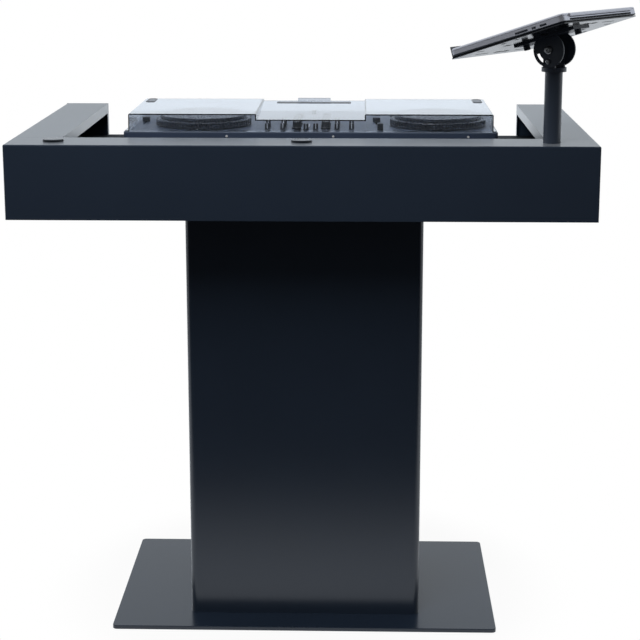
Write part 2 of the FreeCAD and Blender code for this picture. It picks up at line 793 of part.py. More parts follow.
def arm():
    """A pole in a floor socket carries a collar with two upright cheeks and the pivot bolt."""
    socket = Piece("pole_socket")
    half = "socket_foot_width/2"
    low = (f"socket_pitch - {half}", f"{RING_LINE} - {half}", TRAY_TOP)
    high = (f"socket_pitch + {half}", f"{RING_LINE} + {half}", f"{TRAY_TOP} + socket_foot_thickness")
    socket.block(low, high)
    foot = ("socket_pitch", RING_LINE, TRAY_TOP)
    bore = "(pole_radius + running_clearance)"
    socket.rod(f"{bore} + socket_wall", "recess_depth - gauge", foot)
    socket.rod(bore, "recess_depth", foot, cut=True)
    level = f"({TRAY_TOP} + table_height)/2"
    screw_foot = ("socket_pitch", f"{RING_LINE} + pole_radius", level)
    socket.rod("screw_radius", "socket_wall + overrun", screw_foot, "y", cut=True)

    collar_foot = "-(pivot_height + collar_height)"
    pole = Piece("arm_pole", ARM_PLACE)
    pole_length = "recess_depth - rest_gap + pole_height"
    pole.rod("pole_radius", pole_length, ("0", "0", f"{collar_foot} - ({pole_length})"))
    bore_length = f"{pole_length} + 2*overrun"
    bore_foot = ("0", "0", f"{collar_foot} - ({pole_length}) - overrun")
    pole.rod("pole_radius - pole_wall", bore_length, bore_foot, cut=True)

    yoke = Piece("arm_yoke", ARM_PLACE)
    yoke.rod("collar_radius", "collar_height", ("0", "0", collar_foot))
    yoke.rod("pole_radius - pole_wall", "spigot_length", ("0", "0", f"{collar_foot} - spigot_length"))
    for low_x in ("-(yoke_half_width + yoke_thickness)", "yoke_half_width"):
        low = (low_x, "-yoke_arm_radius", "-pivot_height")
        yoke.block(low, (f"{low_x} + yoke_thickness", "yoke_arm_radius", "0"))
        yoke.rod("yoke_arm_radius", "yoke_thickness", (low_x, "0", "0"), "x")
    reach = f"({EAR_OUTER} + rest_gap)"
    yoke.rod("pivot_radius", f"2*{reach}", (f"-{reach}", "0", "0"), "x", cut=True)

    bolt = Piece("pivot_bolt", ARM_PLACE)
    bolt.rod("pivot_radius", f"2*{reach}", (f"-{reach}", "0", "0"), "x")
    for foot_x in (f"-({reach} + pivot_head_height)", reach):
        bolt.rod("pivot_head_radius", "pivot_head_height", (foot_x, "0", "0"), "x")


def tilt_head():
    """Two round ears with curved slots under a head plate, which carries the slotted laptop tray."""
    head = Piece("tilt_head", HEAD_PLACE)
    low = ("-head_width/2", "-head_length/2", "head_gap")
    head.block(low, ("head_width/2", "head_length/2", TRAY_SEAT))
    for low_x in (f"-{EAR_OUTER}", EAR_INNER):
        head.rod("ear_radius", "ear_thickness", (low_x, "0", "0"), "x")
    low = (f"-({EAR_OUTER} + overrun)", "-(ear_radius + overrun)", TRAY_SEAT)
    head.block(low, (f"{EAR_OUTER} + overrun", "ear_radius + overrun", "ear_radius + overrun"), cut=True)
    length = f"2*({EAR_OUTER} + overrun)"
    hole_foot = (f"-({EAR_OUTER} + overrun)", "0", "0")
    head.rod("pivot_radius + running_clearance", length, hole_foot, "x", cut=True)
    head.arc_slot(f"-({EAR_OUTER} + overrun)", length)
    bolt_places = both_signs("tray_bolt_pitch/2")
    for y in bolt_places:
        head.rod("bolt_radius", "head_thickness", ("0", y, "head_gap"), cut=True)

    plate = Piece("laptop_tray", HEAD_PLACE)
    near, far = "tray_offset - tray_length/2", "tray_offset + tray_length/2"
    high = ("tray_width/2", far, f"{TRAY_SEAT} + tray_thickness")
    plate.slab(("-tray_width/2", near, TRAY_SEAT), high, "tray_corner_radius")
    low = ("tray_corner_radius - tray_width/2", f"{far} - tray_thickness", TRAY_SEAT)
    plate.block(low, ("tray_width/2 - tray_corner_radius", far, f"{TRAY_SEAT} + tray_lip_height"))
    for across, along, long_share, wide_share in TRAY_SLOT_SHARES:
        for x, y in corners(f"{across}*tray_width", f"{along}*tray_length"):
            low = (f"{x} - {long_share}*tray_width/2", f"tray_offset + {y} - {wide_share}*tray_length/2")
            high = (f"{x} + {long_share}*tray_width/2", f"tray_offset + {y} + {wide_share}*tray_length/2")
            top = f"{TRAY_SEAT} + tray_thickness + overrun"
            plate.block((*low, f"{TRAY_SEAT} - overrun"), (*high, top), cut=True)
    for y in bolt_places:
        plate.rod("bolt_radius", "tray_thickness", ("0", y, TRAY_SEAT), cut=True)

    bolts = [
        merged(
            part_rod("tray_knob_radius", "tray_knob_height", ("0", y, "head_gap - tray_knob_height")),
            part_rod("bolt_radius", "head_thickness + tray_thickness", ("0", y, "head_gap")),
        )
        for y in bolt_places
    ]
    group("tray_bolts", bolts, HEAD_PLACE)

    top = f"{TRAY_SEAT} + tray_thickness"
    grips = [
        part_block(
            (f"{x} - grip_length/2", f"tray_offset + {y} - grip_width/2", top),
            (f"{x} + grip_length/2", f"tray_offset + {y} + grip_width/2", f"{top} + grip_thickness"),
        )
        for x, y in corners(f"{GRIP_SHARES[0]}*tray_width", f"{GRIP_SHARES[1]}*tray_length")
    ]
    group("tray_grips", grips, HEAD_PLACE)


def laptop_slab(piece, foot, top, inset="0", radius="laptop_corner_radius", cut=False):
    low = (f"{inset} - laptop_width/2", f"{LAPTOP_BACK} + {inset}", foot)
    piece.slab(low, (f"laptop_width/2 - {inset}", f"{LAPTOP_FRONT} - {inset}", top), radius, cut)


def laptop():
    """A closed slim laptop: lower case with keys and touch pad, lid with its screen and hinge barrel."""
    case = Piece("laptop_case", HEAD_PLACE)
    laptop_slab(case, CASE_FOOT, CASE_TOP)
    case.round("laptop_edge_radius", flat_at(CASE_FOOT))
    well_near = f"({LAPTOP_BACK} + key_well_setback)"
    low = ("-key_well_width/2", well_near, f"{CASE_TOP} - key_well_sink_depth")
    high = ("key_well_width/2", f"{well_near} + key_well_depth", f"{CASE_TOP} + overrun")
    case.block(low, high, cut=True)
    pad_far = f"({LAPTOP_FRONT} - touchpad_setback)"
    low = ("-touchpad_width/2", f"{pad_far} - touchpad_depth", f"{CASE_TOP} - key_well_sink_depth")
    case.block(low, ("touchpad_width/2", pad_far, f"{CASE_TOP} + overrun"), cut=True)
    low = ("-hinge_length/2 - slide_clearance", f"{LAPTOP_BACK} - overrun", f"{LID_FOOT} - hinge_notch")
    high = ("hinge_length/2 + slide_clearance", f"{LAPTOP_BACK} + hinge_notch", f"{CASE_TOP} + overrun")
    case.block(low, high, cut=True)
    middle = f"({CASE_FOOT} + {CASE_TOP})/2"
    for place_share, length_share in PORT_SHARES:
        place = f"({LAPTOP_BACK} + {place_share}*laptop_depth)"
        for low_x, high_x in (
            ("-laptop_width/2 - overrun", "port_depth - laptop_width/2"),
            ("laptop_width/2 - port_depth", "laptop_width/2 + overrun"),
        ):
            low = (low_x, f"{place} - {length_share}*laptop_depth/2", f"{middle} - port_height/2")
            high = (high_x, f"{place} + {length_share}*laptop_depth/2", f"{middle} + port_height/2")
            case.block(low, high, cut=True)

    vent_foot = f"({CASE_FOOT} + vent_margin)"
    low = ("-hinge_length/2", f"{LAPTOP_BACK} - overrun", vent_foot)
    high = ("hinge_length/2", f"{LAPTOP_BACK} + port_depth", f"{vent_foot} + vent_height")
    case.block(low, high, cut=True)

    key_wide, key_deep = f"key_well_width/{KEY_COLUMNS}", f"key_well_depth/{KEY_ROWS}"
    sink, well_left = f"{CASE_TOP} - key_well_sink_depth", "-key_well_width/2"
    keys = [
        part_block(
            (
                f"{well_left} + {n}*{key_wide} + key_gap/2",
                f"{well_near} + {row}*{key_deep} + key_gap/2",
                sink,
            ),
            (
                f"{well_left} + {n + 1}*{key_wide} - key_gap/2",
                f"{well_near} + {row + 1}*{key_deep} - key_gap/2",
                f"{sink} + key_height",
            ),
        )
        for row in range(KEY_ROWS)
        for n in range(KEY_COLUMNS)
    ]
    low = ("rest_gap - touchpad_width/2", f"{pad_far} - touchpad_depth + rest_gap", sink)
    high = ("touchpad_width/2 - rest_gap", f"{pad_far} - rest_gap", f"{sink} + key_height")
    keys.append(part_block(low, high))
    group("laptop_keys", keys, HEAD_PLACE)

    middle = f"(({LAPTOP_FRONT} + {LAPTOP_BACK})/2)"
    feet = [
        part_rod("laptop_foot_radius", "laptop_foot_height", (x, f"{middle} + {y}", LAPTOP_FOOT))
        for x, y in corners("laptop_width/2 - laptop_foot_inset", "laptop_depth/2 - laptop_foot_inset")
    ]
    group("laptop_feet", feet, HEAD_PLACE)

    lid = Piece("laptop_lid", HEAD_PLACE)
    laptop_slab(lid, LID_FOOT, f"{LID_FOOT} + lid_height")
    lid.round("laptop_edge_radius", flat_at(f"{LID_FOOT} + lid_height"))
    border = "screen_border"
    low = (f"{border} - laptop_width/2", f"{LAPTOP_BACK} + {border}", f"{LID_FOOT} - overrun")
    high = (f"laptop_width/2 - {border}", f"{LAPTOP_FRONT} - {border}", f"{LID_FOOT} + screen_thickness")
    lid.block(low, high, cut=True)
    screen = Piece("laptop_screen", HEAD_PLACE)
    low = (f"{border} + rest_gap - laptop_width/2", f"{LAPTOP_BACK} + {border} + rest_gap", LID_FOOT)
    high_x, high_y, top = high
    screen.block(low, (f"{high_x} - rest_gap", f"{high_y} - rest_gap", top))

    hinge = Piece("laptop_hinge", HEAD_PLACE)
    hinge.rod("hinge_radius", "hinge_length", ("-hinge_length/2", LAPTOP_BACK, LID_FOOT), "x")
    low = ("-hinge_length/2 - overrun", LAPTOP_BACK, LID_FOOT)
    reach = "hinge_radius + overrun"
    high = ("hinge_length/2 + overrun", f"{LAPTOP_BACK} + {reach}", f"{LID_FOOT} + {reach}")
    hinge.block(low, high, cut=True)


def controller_slab(piece, inset, foot, top, cut=False):
    low = (f"{inset} - controller_width/2", f"{inset} - controller_depth/2", foot)
    high = (f"controller_width/2 - {inset}", f"controller_depth/2 - {inset}", top)
    piece.slab(low, high, f"(controller_corner_radius - {inset})", cut)


# Each deck runs in +X from its pitch fader's edge
DECKS = (("left", "(-controller_width/2)"), ("right", "(mixer_width/2)"))
KNOB_PLACES = [
    (f"tone_knob_{side}_{row + 1}", x, f"{row}*knob_row_gap - knob_first_offset")
    for side, x in (("left", "-knob_pitch/2"), ("right", "knob_pitch/2"))
    for row in range(3)
]
BUTTON_PLACES = [
    (f"{name}_button_{side}", f"{edge} + {DECK_WIDTH} - button_inset",
     f"button_first_offset + {n}*button_gap")
    for side, edge in DECKS
    for n, name in enumerate(("cue", "play"))
]
FADER_PLACES = [
    (f"pitch_fader_{side}", f"{edge} + pitch_inset", "0", "pitch_travel", "y") for side, edge in DECKS
] + [
    ("channel_fader_left", "-channel_pitch/2", "channel_offset", "channel_travel", "y"),
    ("channel_fader_right", "channel_pitch/2", "channel_offset", "channel_travel", "y"),
    ("crossfader", "0", "cross_offset", "cross_travel", "x"),
]


def controller_body():
    """Lower chassis with posts, circuit board, jacks at the audience side, feet and the top panel."""
    chassis = Piece("controller_chassis", CONTROLLER_PLACE)
    controller_slab(chassis, "0", "controller_foot_height", PANEL_FOOT)
    floor = "(controller_foot_height + controller_wall)"
    controller_slab(chassis, "controller_wall", floor, f"{PANEL_FOOT} + overrun", cut=True)
    posts = corners("controller_width/2 - post_inset", "controller_depth/2 - post_inset")
    for x, y in posts:
        chassis.rod("post_radius", "board_height + controller_wall", (x, y, "controller_foot_height"))

    board = Piece("controller_board", CONTROLLER_PLACE)
    half_x, half_y = "(controller_width/2 - post_inset/2)", "(controller_depth/2 - post_inset/2)"
    level = f"({floor} + board_height)"
    board.block((f"-{half_x}", f"-{half_y}", level), (half_x, half_y, f"{level} + board_thickness"))

    panel = Piece("controller_panel", CONTROLLER_PLACE)
    controller_slab(panel, "0", PANEL_FOOT, PANEL_TOP)
    panel.round("panel_edge_radius", flat_at(PANEL_TOP))
    half = "(fader_stem_width/2 + slide_clearance)"
    for label, x, y, travel, along in FADER_PLACES:
        run_x, run_y = (f"({half} + {travel})", half) if along == "x" else (half, f"({half} + {travel})")
        low = (f"{x} - {run_x}", f"{y} - {run_y}", f"{PANEL_FOOT} - overrun")
        panel.block(low, (f"{x} + {run_x}", f"{y} + {run_y}", f"{PANEL_TOP} + overrun"), cut=True)
    for label, x, y in KNOB_PLACES:
        panel.rod("knob_stem_radius + slide_clearance", "panel_thickness", (x, y, PANEL_FOOT), cut=True)
    for label, x, y in BUTTON_PLACES:
        panel.rod("button_radius + slide_clearance", "panel_thickness", (x, y, PANEL_FOOT), cut=True)

    half_x, half_y = "controller_width/2", "controller_depth/2"
    feet = [
        part_rod("controller_foot_radius", "controller_foot_height", (x, y, "0"))
        for x, y in corners(f"{half_x} - controller_foot_inset", f"{half_y} - controller_foot_inset")
    ]
    group("controller_feet", feet, CONTROLLER_PLACE)
    wall, level = "-(controller_depth/2 + jack_length)", "controller_foot_height + controller_height/2"
    jacks = [
        part_rod("jack_radius", "jack_length", (f"{share}*controller_width", wall, level), "y")
        for share in JACK_SHARES
    ]
    group("controller_jacks", jacks, CONTROLLER_PLACE)


def jog_wheels():
    """Each wheel is a stepped disc with a finger dimple, on a fixed spindle."""
    spindles = []
    for side, edge in DECKS:
        x, y = f"({edge} + ({DECK_WIDTH} + pitch_strip_width - jog_side_margin)/2)", JOG_ALONG
        spindles.append(part_rod("spindle_radius", "spindle_height", (x, y, PANEL_TOP)))
        wheel = Piece(f"jog_wheel_{side}", CONTROLLER_PLACE)
        foot = f"({PANEL_TOP} + jog_gap)"
        wheel.rod(JOG_RADIUS, "jog_rim_height", (x, y, foot))
        wheel.rod(f"{JOG_RADIUS} - jog_step_width", "jog_height", (x, y, foot))
        bore = "spindle_height + rest_gap - jog_gap"
        wheel.rod("spindle_radius + running_clearance", bore, (x, y, foot), cut=True)
        dimple_x = f"{x} + {DIMPLE_SHARE}*({JOG_RADIUS} - jog_step_width)"
        dimple = (dimple_x, y, f"{foot} + jog_height - jog_dimple_depth")
        wheel.rod("jog_dimple_radius", "jog_dimple_depth + overrun", dimple, cut=True)
    group("jog_spindles", spindles, CONTROLLER_PLACE)


def sliders():
    """Fader caps on stems that run in slots of the panel."""
    for label, x, y, travel, along in FADER_PLACES:
        fader = Piece(label, CONTROLLER_PLACE)
        long_x, long_y = "fader_cap_length", "fader_cap_width"
        if along == "x":
            long_x, long_y = long_y, long_x
        foot = f"({PANEL_TOP} + rest_gap)"
        low = (f"{x} - {long_x}/2", f"{y} - {long_y}/2", foot)
        fader.block(low, (f"{x} + {long_x}/2", f"{y} + {long_y}/2", f"{foot} + fader_cap_height"))
        low = (f"{x} - fader_stem_width/2", f"{y} - fader_stem_width/2", f"{foot} - fader_stem_depth")
        fader.block(low, (f"{x} + fader_stem_width/2", f"{y} + fader_stem_width/2", foot))


def knobs_and_buttons():
    """Tone knobs with a skirt and pointer, round press buttons, and one-piece rubber pad mats."""
    for label, x, y in KNOB_PLACES:
        knob = Piece(label, CONTROLLER_PLACE)
        foot = f"({PANEL_TOP} + rest_gap)"
        knob.rod("knob_skirt_radius", "knob_skirt_height", (x, y, foot))
        knob.rod("knob_radius", "knob_height", (x, y, foot))
        knob.rod("knob_stem_radius", "knob_stem_depth", (x, y, f"{foot} - knob_stem_depth"))
    for label, x, y in BUTTON_PLACES:
        button = Piece(label, CONTROLLER_PLACE)
        button.rod("button_radius", "button_depth + button_height", (x, y, f"{PANEL_TOP} - button_depth"))
    mat_width = f"({DECK_WIDTH} - pitch_strip_width - mat_side_margin - button_strip_width)"
    mat_top = f"({PANEL_TOP} + mat_thickness)"
    for side, edge in DECKS:
        mat = Piece(f"pad_mat_{side}", CONTROLLER_PLACE)
        mat_low = f"({edge} + pitch_strip_width + mat_side_margin)"
        high = (f"{mat_low} + {mat_width}", f"{MAT_NEAR} + mat_depth", mat_top)
        mat.block((mat_low, MAT_NEAR, PANEL_TOP), high)
        for n in range(PAD_COLUMNS):
            for row in range(PAD_ROWS):
                low_x = f"{mat_low} + {n}*{mat_width}/{PAD_COLUMNS}"
                low_y = f"{MAT_NEAR} + {row}*mat_depth/{PAD_ROWS}"
                low = (f"{low_x} + pad_gap/2", f"{low_y} + pad_gap/2", mat_top)
                high_x = f"{low_x} + {mat_width}/{PAD_COLUMNS} - pad_gap/2"
                high_y = f"{low_y} + mat_depth/{PAD_ROWS} - pad_gap/2"
                mat.block(low, (high_x, high_y, f"{mat_top} + pad_height"))


def dust_cover():
    """A clear moulding, tall over the decks and rising over the mixer, sloping at the player's side."""
    cover = Piece("dust_cover", CONTROLLER_PLACE)
    half_x = "(controller_width/2 - cover_margin)"
    near, far = "(cover_margin - controller_depth/2)", "(controller_depth/2 - cover_margin)"
    foot = f"({PANEL_TOP} + rest_gap)"

    def section(near_height, far_height, wall):
        """Upright near wall, straight top and sloping far wall, drawn in by the wall all round."""
        bottom = f"{foot} - overrun" if wall != "0" else foot
        return [
            (f"{near} + {wall}", bottom),
            (f"{near} + cover_near_draft_width + {wall}", f"{foot} + {near_height} - {wall}"),
            (f"{far} - cover_far_slope_width - {wall}", f"{foot} + {far_height} - {wall}"),
            (f"{far} - 2*{wall}", bottom),
        ]

    low_roof = ("cover_mixer_height", "cover_mixer_far_height")
    high_roof = ("cover_deck_height", "cover_deck_height")

    mixer = "(mixer_width/2)"
    cover.prism("YZ", section(*low_roof, "0"), f"-{half_x}", f"2*{half_x}")
    for start in (f"-{half_x}", mixer):
        cover.prism("YZ", section(*high_roof, "0"), start, f"{half_x} - {mixer}")
    deck_edge = flat_at(f"{foot} + cover_deck_height")
    near_edge = flat_at(f"{foot} + cover_mixer_height")
    far_edge = flat_at(f"{foot} + cover_mixer_far_height")
    end = number_of(half_x)

    def outer_edge(box):
        upright = abs(abs(box.XMin) - end) < TINY and box.XLength < TINY and box.ZLength > TINY
        return deck_edge(box) or upright or near_edge(box) or far_edge(box)

    cover.round("cover_edge_radius", outer_edge)
    rim = f"({half_x} + cover_flange_width)"
    low = (f"-{rim}", f"{near} - cover_flange_width", foot)
    cover.block(low, (rim, f"{far} + cover_flange_width", f"{foot} + cover_flange_height"))
    inside = f"({half_x} - cover_wall)"
    cover.prism("YZ", section(*low_roof, "cover_wall"), f"-{inside}", f"2*{inside}", cut=True)
    for start in (f"-{inside}", f"{mixer} + cover_wall"):
        length = f"{inside} - {mixer} - cover_wall"
        cover.prism("YZ", section(*high_roof, "cover_wall"), start, length, cut=True)


base_plate()
column()
column_bolts()
panel_screws()
rails()
tray()
cable_rings()
arm()
tilt_head()
laptop()
controller_body()
jog_wheels()
sliders()
knobs_and_buttons()
dust_cover()
doc.recompute()

for thing in doc.Objects:
    if "Invalid" in thing.State or "Error" in thing.State:
        raise ValueError(f"{thing.Label} failed: {thing.State}")
for subpart in subparts:
    if subpart.Shape.isNull() or not subpart.Shape.isValid():
        raise ValueError(f"{subpart.Label} has no valid shape")

os.makedirs("parts", exist_ok=True)
for subpart in subparts:
    subpart.Shape.exportStep(f"parts/{subpart.Label}.step")
    box = subpart.Shape.BoundBox
    count = len(subpart.Shape.Solids)
    print(f"{subpart.Label}: {count} solids, {box.XLength:.1f} x {box.YLength:.1f} x {box.ZLength:.1f}")
print(f"{len(subparts)} sub-parts")
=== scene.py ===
# %% [markdown]
# # A DJ booth, dressed piece by piece
#
# The booth is a folded steel table on a wide column, with a two-deck controller under a clear dust
# cover and a laptop on a swivelling arm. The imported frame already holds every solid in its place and
# knows how each one moves. This lesson gives the solids their finishes and replaces the small pieces
# with finer surfaces, each one worked out as an array of points.

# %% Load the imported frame
import json
import math

import bpy
import numpy as np
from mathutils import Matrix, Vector


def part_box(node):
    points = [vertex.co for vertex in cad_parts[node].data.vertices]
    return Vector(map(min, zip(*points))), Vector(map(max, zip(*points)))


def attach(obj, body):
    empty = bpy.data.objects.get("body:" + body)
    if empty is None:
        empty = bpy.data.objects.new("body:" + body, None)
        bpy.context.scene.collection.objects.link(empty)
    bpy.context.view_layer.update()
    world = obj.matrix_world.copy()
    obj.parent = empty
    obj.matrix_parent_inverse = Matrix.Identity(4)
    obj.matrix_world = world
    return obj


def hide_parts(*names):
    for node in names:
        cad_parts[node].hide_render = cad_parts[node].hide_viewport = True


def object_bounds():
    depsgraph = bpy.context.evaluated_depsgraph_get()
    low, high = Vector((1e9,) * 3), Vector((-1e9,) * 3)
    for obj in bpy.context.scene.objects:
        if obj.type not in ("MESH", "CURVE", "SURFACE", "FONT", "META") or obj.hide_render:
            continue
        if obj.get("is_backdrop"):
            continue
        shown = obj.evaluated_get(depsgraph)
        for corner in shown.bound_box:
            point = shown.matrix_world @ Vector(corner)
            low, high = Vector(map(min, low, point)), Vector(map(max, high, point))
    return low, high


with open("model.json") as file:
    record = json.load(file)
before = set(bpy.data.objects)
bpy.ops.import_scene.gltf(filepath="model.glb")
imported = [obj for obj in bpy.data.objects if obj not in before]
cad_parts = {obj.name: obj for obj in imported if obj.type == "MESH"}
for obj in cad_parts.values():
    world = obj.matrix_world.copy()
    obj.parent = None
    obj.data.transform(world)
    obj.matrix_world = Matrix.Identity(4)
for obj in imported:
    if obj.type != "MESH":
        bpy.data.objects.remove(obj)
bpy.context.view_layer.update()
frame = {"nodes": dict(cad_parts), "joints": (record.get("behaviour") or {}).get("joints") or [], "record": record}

scene = bpy.context.scene
slot_of_node = {part["node"]: part["material_slot"] for part in frame["record"]["subparts"]}

# %% [markdown]
# ## Camera
#
# The camera comes first, because every later choice is judged through it. It stands in front of the
# booth, a little to the right and above the table top, with a long lens. One could aim it at a target
# with a constraint; here a turn and a tilt give its direction, because those two angles were fitted to
# the picture. A small downward shift of the lens lets it tilt less, which keeps uprights more upright.

# %% Camera
camera_place = (0.1174, -3.5428, 1.4828)
turn, tilt = math.radians(-1.444), math.radians(12.616)
level = math.cos(tilt)
forward = Vector((math.sin(turn) * level, math.cos(turn) * level, -math.sin(tilt)))
lens = bpy.data.cameras.new("camera")
lens.sensor_width = 36
lens.lens = 93.906
lens.shift_y = -0.05
camera = bpy.data.objects.new("camera", lens)
camera.location = camera_place
camera.rotation_euler = forward.to_track_quat("-Z", "Y").to_euler()
scene.collection.objects.link(camera)
scene.camera = camera
print("camera at", camera_place)

# %% [markdown]
# ## Floor
#
# The booth stands on a seamless white studio floor. It could be a plane from Blender's menu; four
# points and one face say the same in a script.

# %% Floor
floor_half = 9.0
floor_corners = [(-floor_half, -floor_half, 0), (floor_half, -floor_half, 0),
                 (floor_half, floor_half, 0), (-floor_half, floor_half, 0)]
floor_mesh = bpy.data.meshes.new("floor")
floor_mesh.from_pydata(floor_corners, [], [(0, 1, 2, 3)])
floor = bpy.data.objects.new("floor", floor_mesh)
scene.collection.objects.link(floor)
floor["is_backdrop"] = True
print("floor:", floor_half * 2, "m wide")

# %% [markdown]
# ## Floor paint
#
# In the picture the floor is white, with hardly a shadow, and the column mirrors it in a slow gradient:
# low on the column a glancing ray meets the lit floor, higher up it meets the dark room. Lamps alone
# would take many trials to give both. So the paint answers each kind of ray by its own rule: white for
# the eye, a glow that fades towards the camera and dims a little behind the booth for mirrored rays,
# and dark grey for the light that it throws back, so that the table's underside stays dark.

# %% Node helpers
def new_node(tree, kind, **settings):
    """Adds a node and sets its plain properties by name."""
    node = tree.nodes.new(kind)
    for key, value in settings.items():
        setattr(node, key, value)
    return node


def ramp_between(tree, source, low, high, first, last):
    """A smooth step: first below low, last above high, and an S curve between them."""
    step = new_node(tree, "ShaderNodeMapRange", interpolation_type="SMOOTHSTEP")
    for socket, value in (("From Min", low), ("From Max", high), ("To Min", first), ("To Max", last)):
        step.inputs[socket].default_value = value
    tree.links.new(source, step.inputs["Value"])
    return step.outputs["Result"]


def product(tree, first, second):
    """Multiplies two sockets."""
    times = new_node(tree, "ShaderNodeMath", operation="MULTIPLY")
    tree.links.new(first, times.inputs[0])
    tree.links.new(second, times.inputs[1])
    return times.outputs[0]


def either(tree, factor, first, second):
    """Mixes two shaders; the factor may be a number or a socket."""
    mix = new_node(tree, "ShaderNodeMixShader")
    if isinstance(factor, float):
        mix.inputs["Fac"].default_value = factor
    else:
        tree.links.new(factor, mix.inputs["Fac"])
    tree.links.new(first, mix.inputs[1])
    tree.links.new(second, mix.inputs[2])
    return mix.outputs[0]


print("node helpers: new_node, ramp_between, product, either")

# %% Floor paint
lit_white, bounce_grey, mirror_white = (0.9, 0.9, 0.9, 1), (0.12, 0.12, 0.125, 1), (0.89, 0.94, 1.0, 1)
shadow_removed = 0.93
shadow_near, shadow_far = 0.42, 0.62
floor_paint = bpy.data.materials.new("floor_paint")
floor_paint.use_nodes = True
tree = floor_paint.node_tree
tree.nodes.clear()
where = new_node(tree, "ShaderNodeTexCoord").outputs["Object"]
along = new_node(tree, "ShaderNodeSeparateXYZ")
tree.links.new(where, along.inputs[0])
distance = new_node(tree, "ShaderNodeVectorMath", operation="LENGTH")
tree.links.new(where, distance.inputs[0])
print("floor paint starts with", len(tree.nodes), "nodes")

# %% Floor shaders
lit = new_node(tree, "ShaderNodeBsdfDiffuse")
lit.inputs["Color"].default_value = lit_white
dim = new_node(tree, "ShaderNodeBsdfDiffuse")
dim.inputs["Color"].default_value = bounce_grey
white = new_node(tree, "ShaderNodeEmission")
mirrored = new_node(tree, "ShaderNodeEmission")
mirrored.inputs["Color"].default_value = mirror_white
before_booth = ramp_between(tree, along.outputs["Y"], -1.2, -0.4, 0.02, 1.0)
behind_booth = ramp_between(tree, along.outputs["Y"], -0.1, 0.6, 1.12, 0.80)
tree.links.new(product(tree, before_booth, behind_booth), mirrored.inputs["Strength"])
print("floor shaders: lit, dim, white, mirrored")

# %% Floor by kind of ray
path = new_node(tree, "ShaderNodeLightPath").outputs
soft_shadow = either(tree, shadow_removed, lit.outputs[0], white.outputs[0])
far_off = ramp_between(tree, distance.outputs["Value"], shadow_near, shadow_far, 0.0, 1.0)
seen = either(tree, far_off, soft_shadow, white.outputs[0])
by_camera = either(tree, path["Is Camera Ray"], dim.outputs[0], seen)
by_gloss = either(tree, path["Is Glossy Ray"], by_camera, mirrored.outputs[0])
output = new_node(tree, "ShaderNodeOutputMaterial")
tree.links.new(by_gloss, output.inputs["Surface"])
floor_mesh.materials.append(floor_paint)
print("floor paint:", len(tree.nodes), "nodes")

# %% [markdown]
# ## World
#
# Around the booth is a white room. Its walls could be modelled, but a world has no corners to hide and
# can treat each kind of ray apart. The eye sees it white. Mirrored in paint it is a cool white behind
# the booth, dims overhead and is dark on the camera's side, where a studio is not lit. Through the
# clear cover that side is dim rather than dark. For all other light the room only fills the shadows.

# %% Mix helper
def mixed(tree, kind, factor, first, second):
    """Mixes two numbers or colours by a socket; each of the two is a socket or a plain value."""
    mix = new_node(tree, "ShaderNodeMix", data_type=kind)
    first_input, result = {"FLOAT": (2, 0), "RGBA": (6, 2)}[kind]
    tree.links.new(factor, mix.inputs[0])
    for index, value in ((first_input, first), (first_input + 1, second)):
        if isinstance(value, bpy.types.NodeSocket):
            tree.links.new(value, mix.inputs[index])
        else:
            mix.inputs[index].default_value = value
    return mix.outputs[result]


print("node helper: mixed")

# %% World
scene.view_settings.view_transform = "Standard"
world = bpy.data.worlds.new("studio")
world.use_nodes = True
scene.world = world
tree = world.node_tree
path = new_node(tree, "ShaderNodeLightPath").outputs
heading = new_node(tree, "ShaderNodeSeparateXYZ")
tree.links.new(new_node(tree, "ShaderNodeTexCoord").outputs["Generated"], heading.inputs[0])

back_wall = ramp_between(tree, heading.outputs["Y"], -0.75, 0.35, 0.05, 1.04)
overhead = ramp_between(tree, heading.outputs["Z"], 0.15, 0.45, 1.0, 0.75)
through_cover = ramp_between(tree, heading.outputs["Y"], -0.45, 0.35, 0.36, 1.0)
fill_strength, seen_strength = 0.15, 1.0
neutral_white, cool_white = (1, 1, 1, 1), (0.87, 0.935, 1.0, 1)
room = product(tree, back_wall, overhead)
strength = mixed(tree, "FLOAT", path["Is Glossy Ray"], fill_strength, room)
strength = mixed(tree, "FLOAT", path["Is Transmission Ray"], strength, through_cover)
strength = mixed(tree, "FLOAT", path["Is Camera Ray"], strength, seen_strength)
tint = mixed(tree, "RGBA", path["Is Glossy Ray"], neutral_white, cool_white)
backdrop = tree.nodes["Background"]
tree.links.new(strength, backdrop.inputs["Strength"])
tree.links.new(tint, backdrop.inputs["Color"])
print("world:", len(tree.nodes), "nodes")

# %% [markdown]
# ## Lamps
#
# A photographer would hang one wide soft box over the table and set a smaller one in front of it, and
# Blender's area lamps are just that. Mirrored rays do not see them, because the picture shows no
# square lamp in the satin coat; the room above gives the coat its reflections.

# %% Lamps
def soft_box(name, place, target, size, watts):
    """A large square lamp at a place, turned to a target."""
    lamp = bpy.data.lights.new(name, "AREA")
    lamp.size, lamp.energy = size, watts
    holder = bpy.data.objects.new(name, lamp)
    holder.location = place
    holder.rotation_euler = (Vector(target) - Vector(place)).to_track_quat("-Z", "Y").to_euler()
    holder.visible_glossy = False
    scene.collection.objects.link(holder)


soft_box("overhead_lamp", place=(0.0, 0.5, 3.4), target=(0, 0, 0.9), size=4.2, watts=72)
soft_box("front_lamp", place=(-0.5, -1.6, 2.6), target=(0, 0, 0.6), size=1.2, watts=35)

# %% [markdown]
# ## Finishes
#
# No real finish is even. A photograph of each could be wrapped on the piece, but a procedural material
# needs no picture and has no seams. It reads the piece's own Object coordinates, so its grain keeps
# its true scale in metres. One helper adds three kinds of unevenness to a plain shader: a fine bump
# for the texture one can feel, a spread of roughness, and a slow drift of colour.

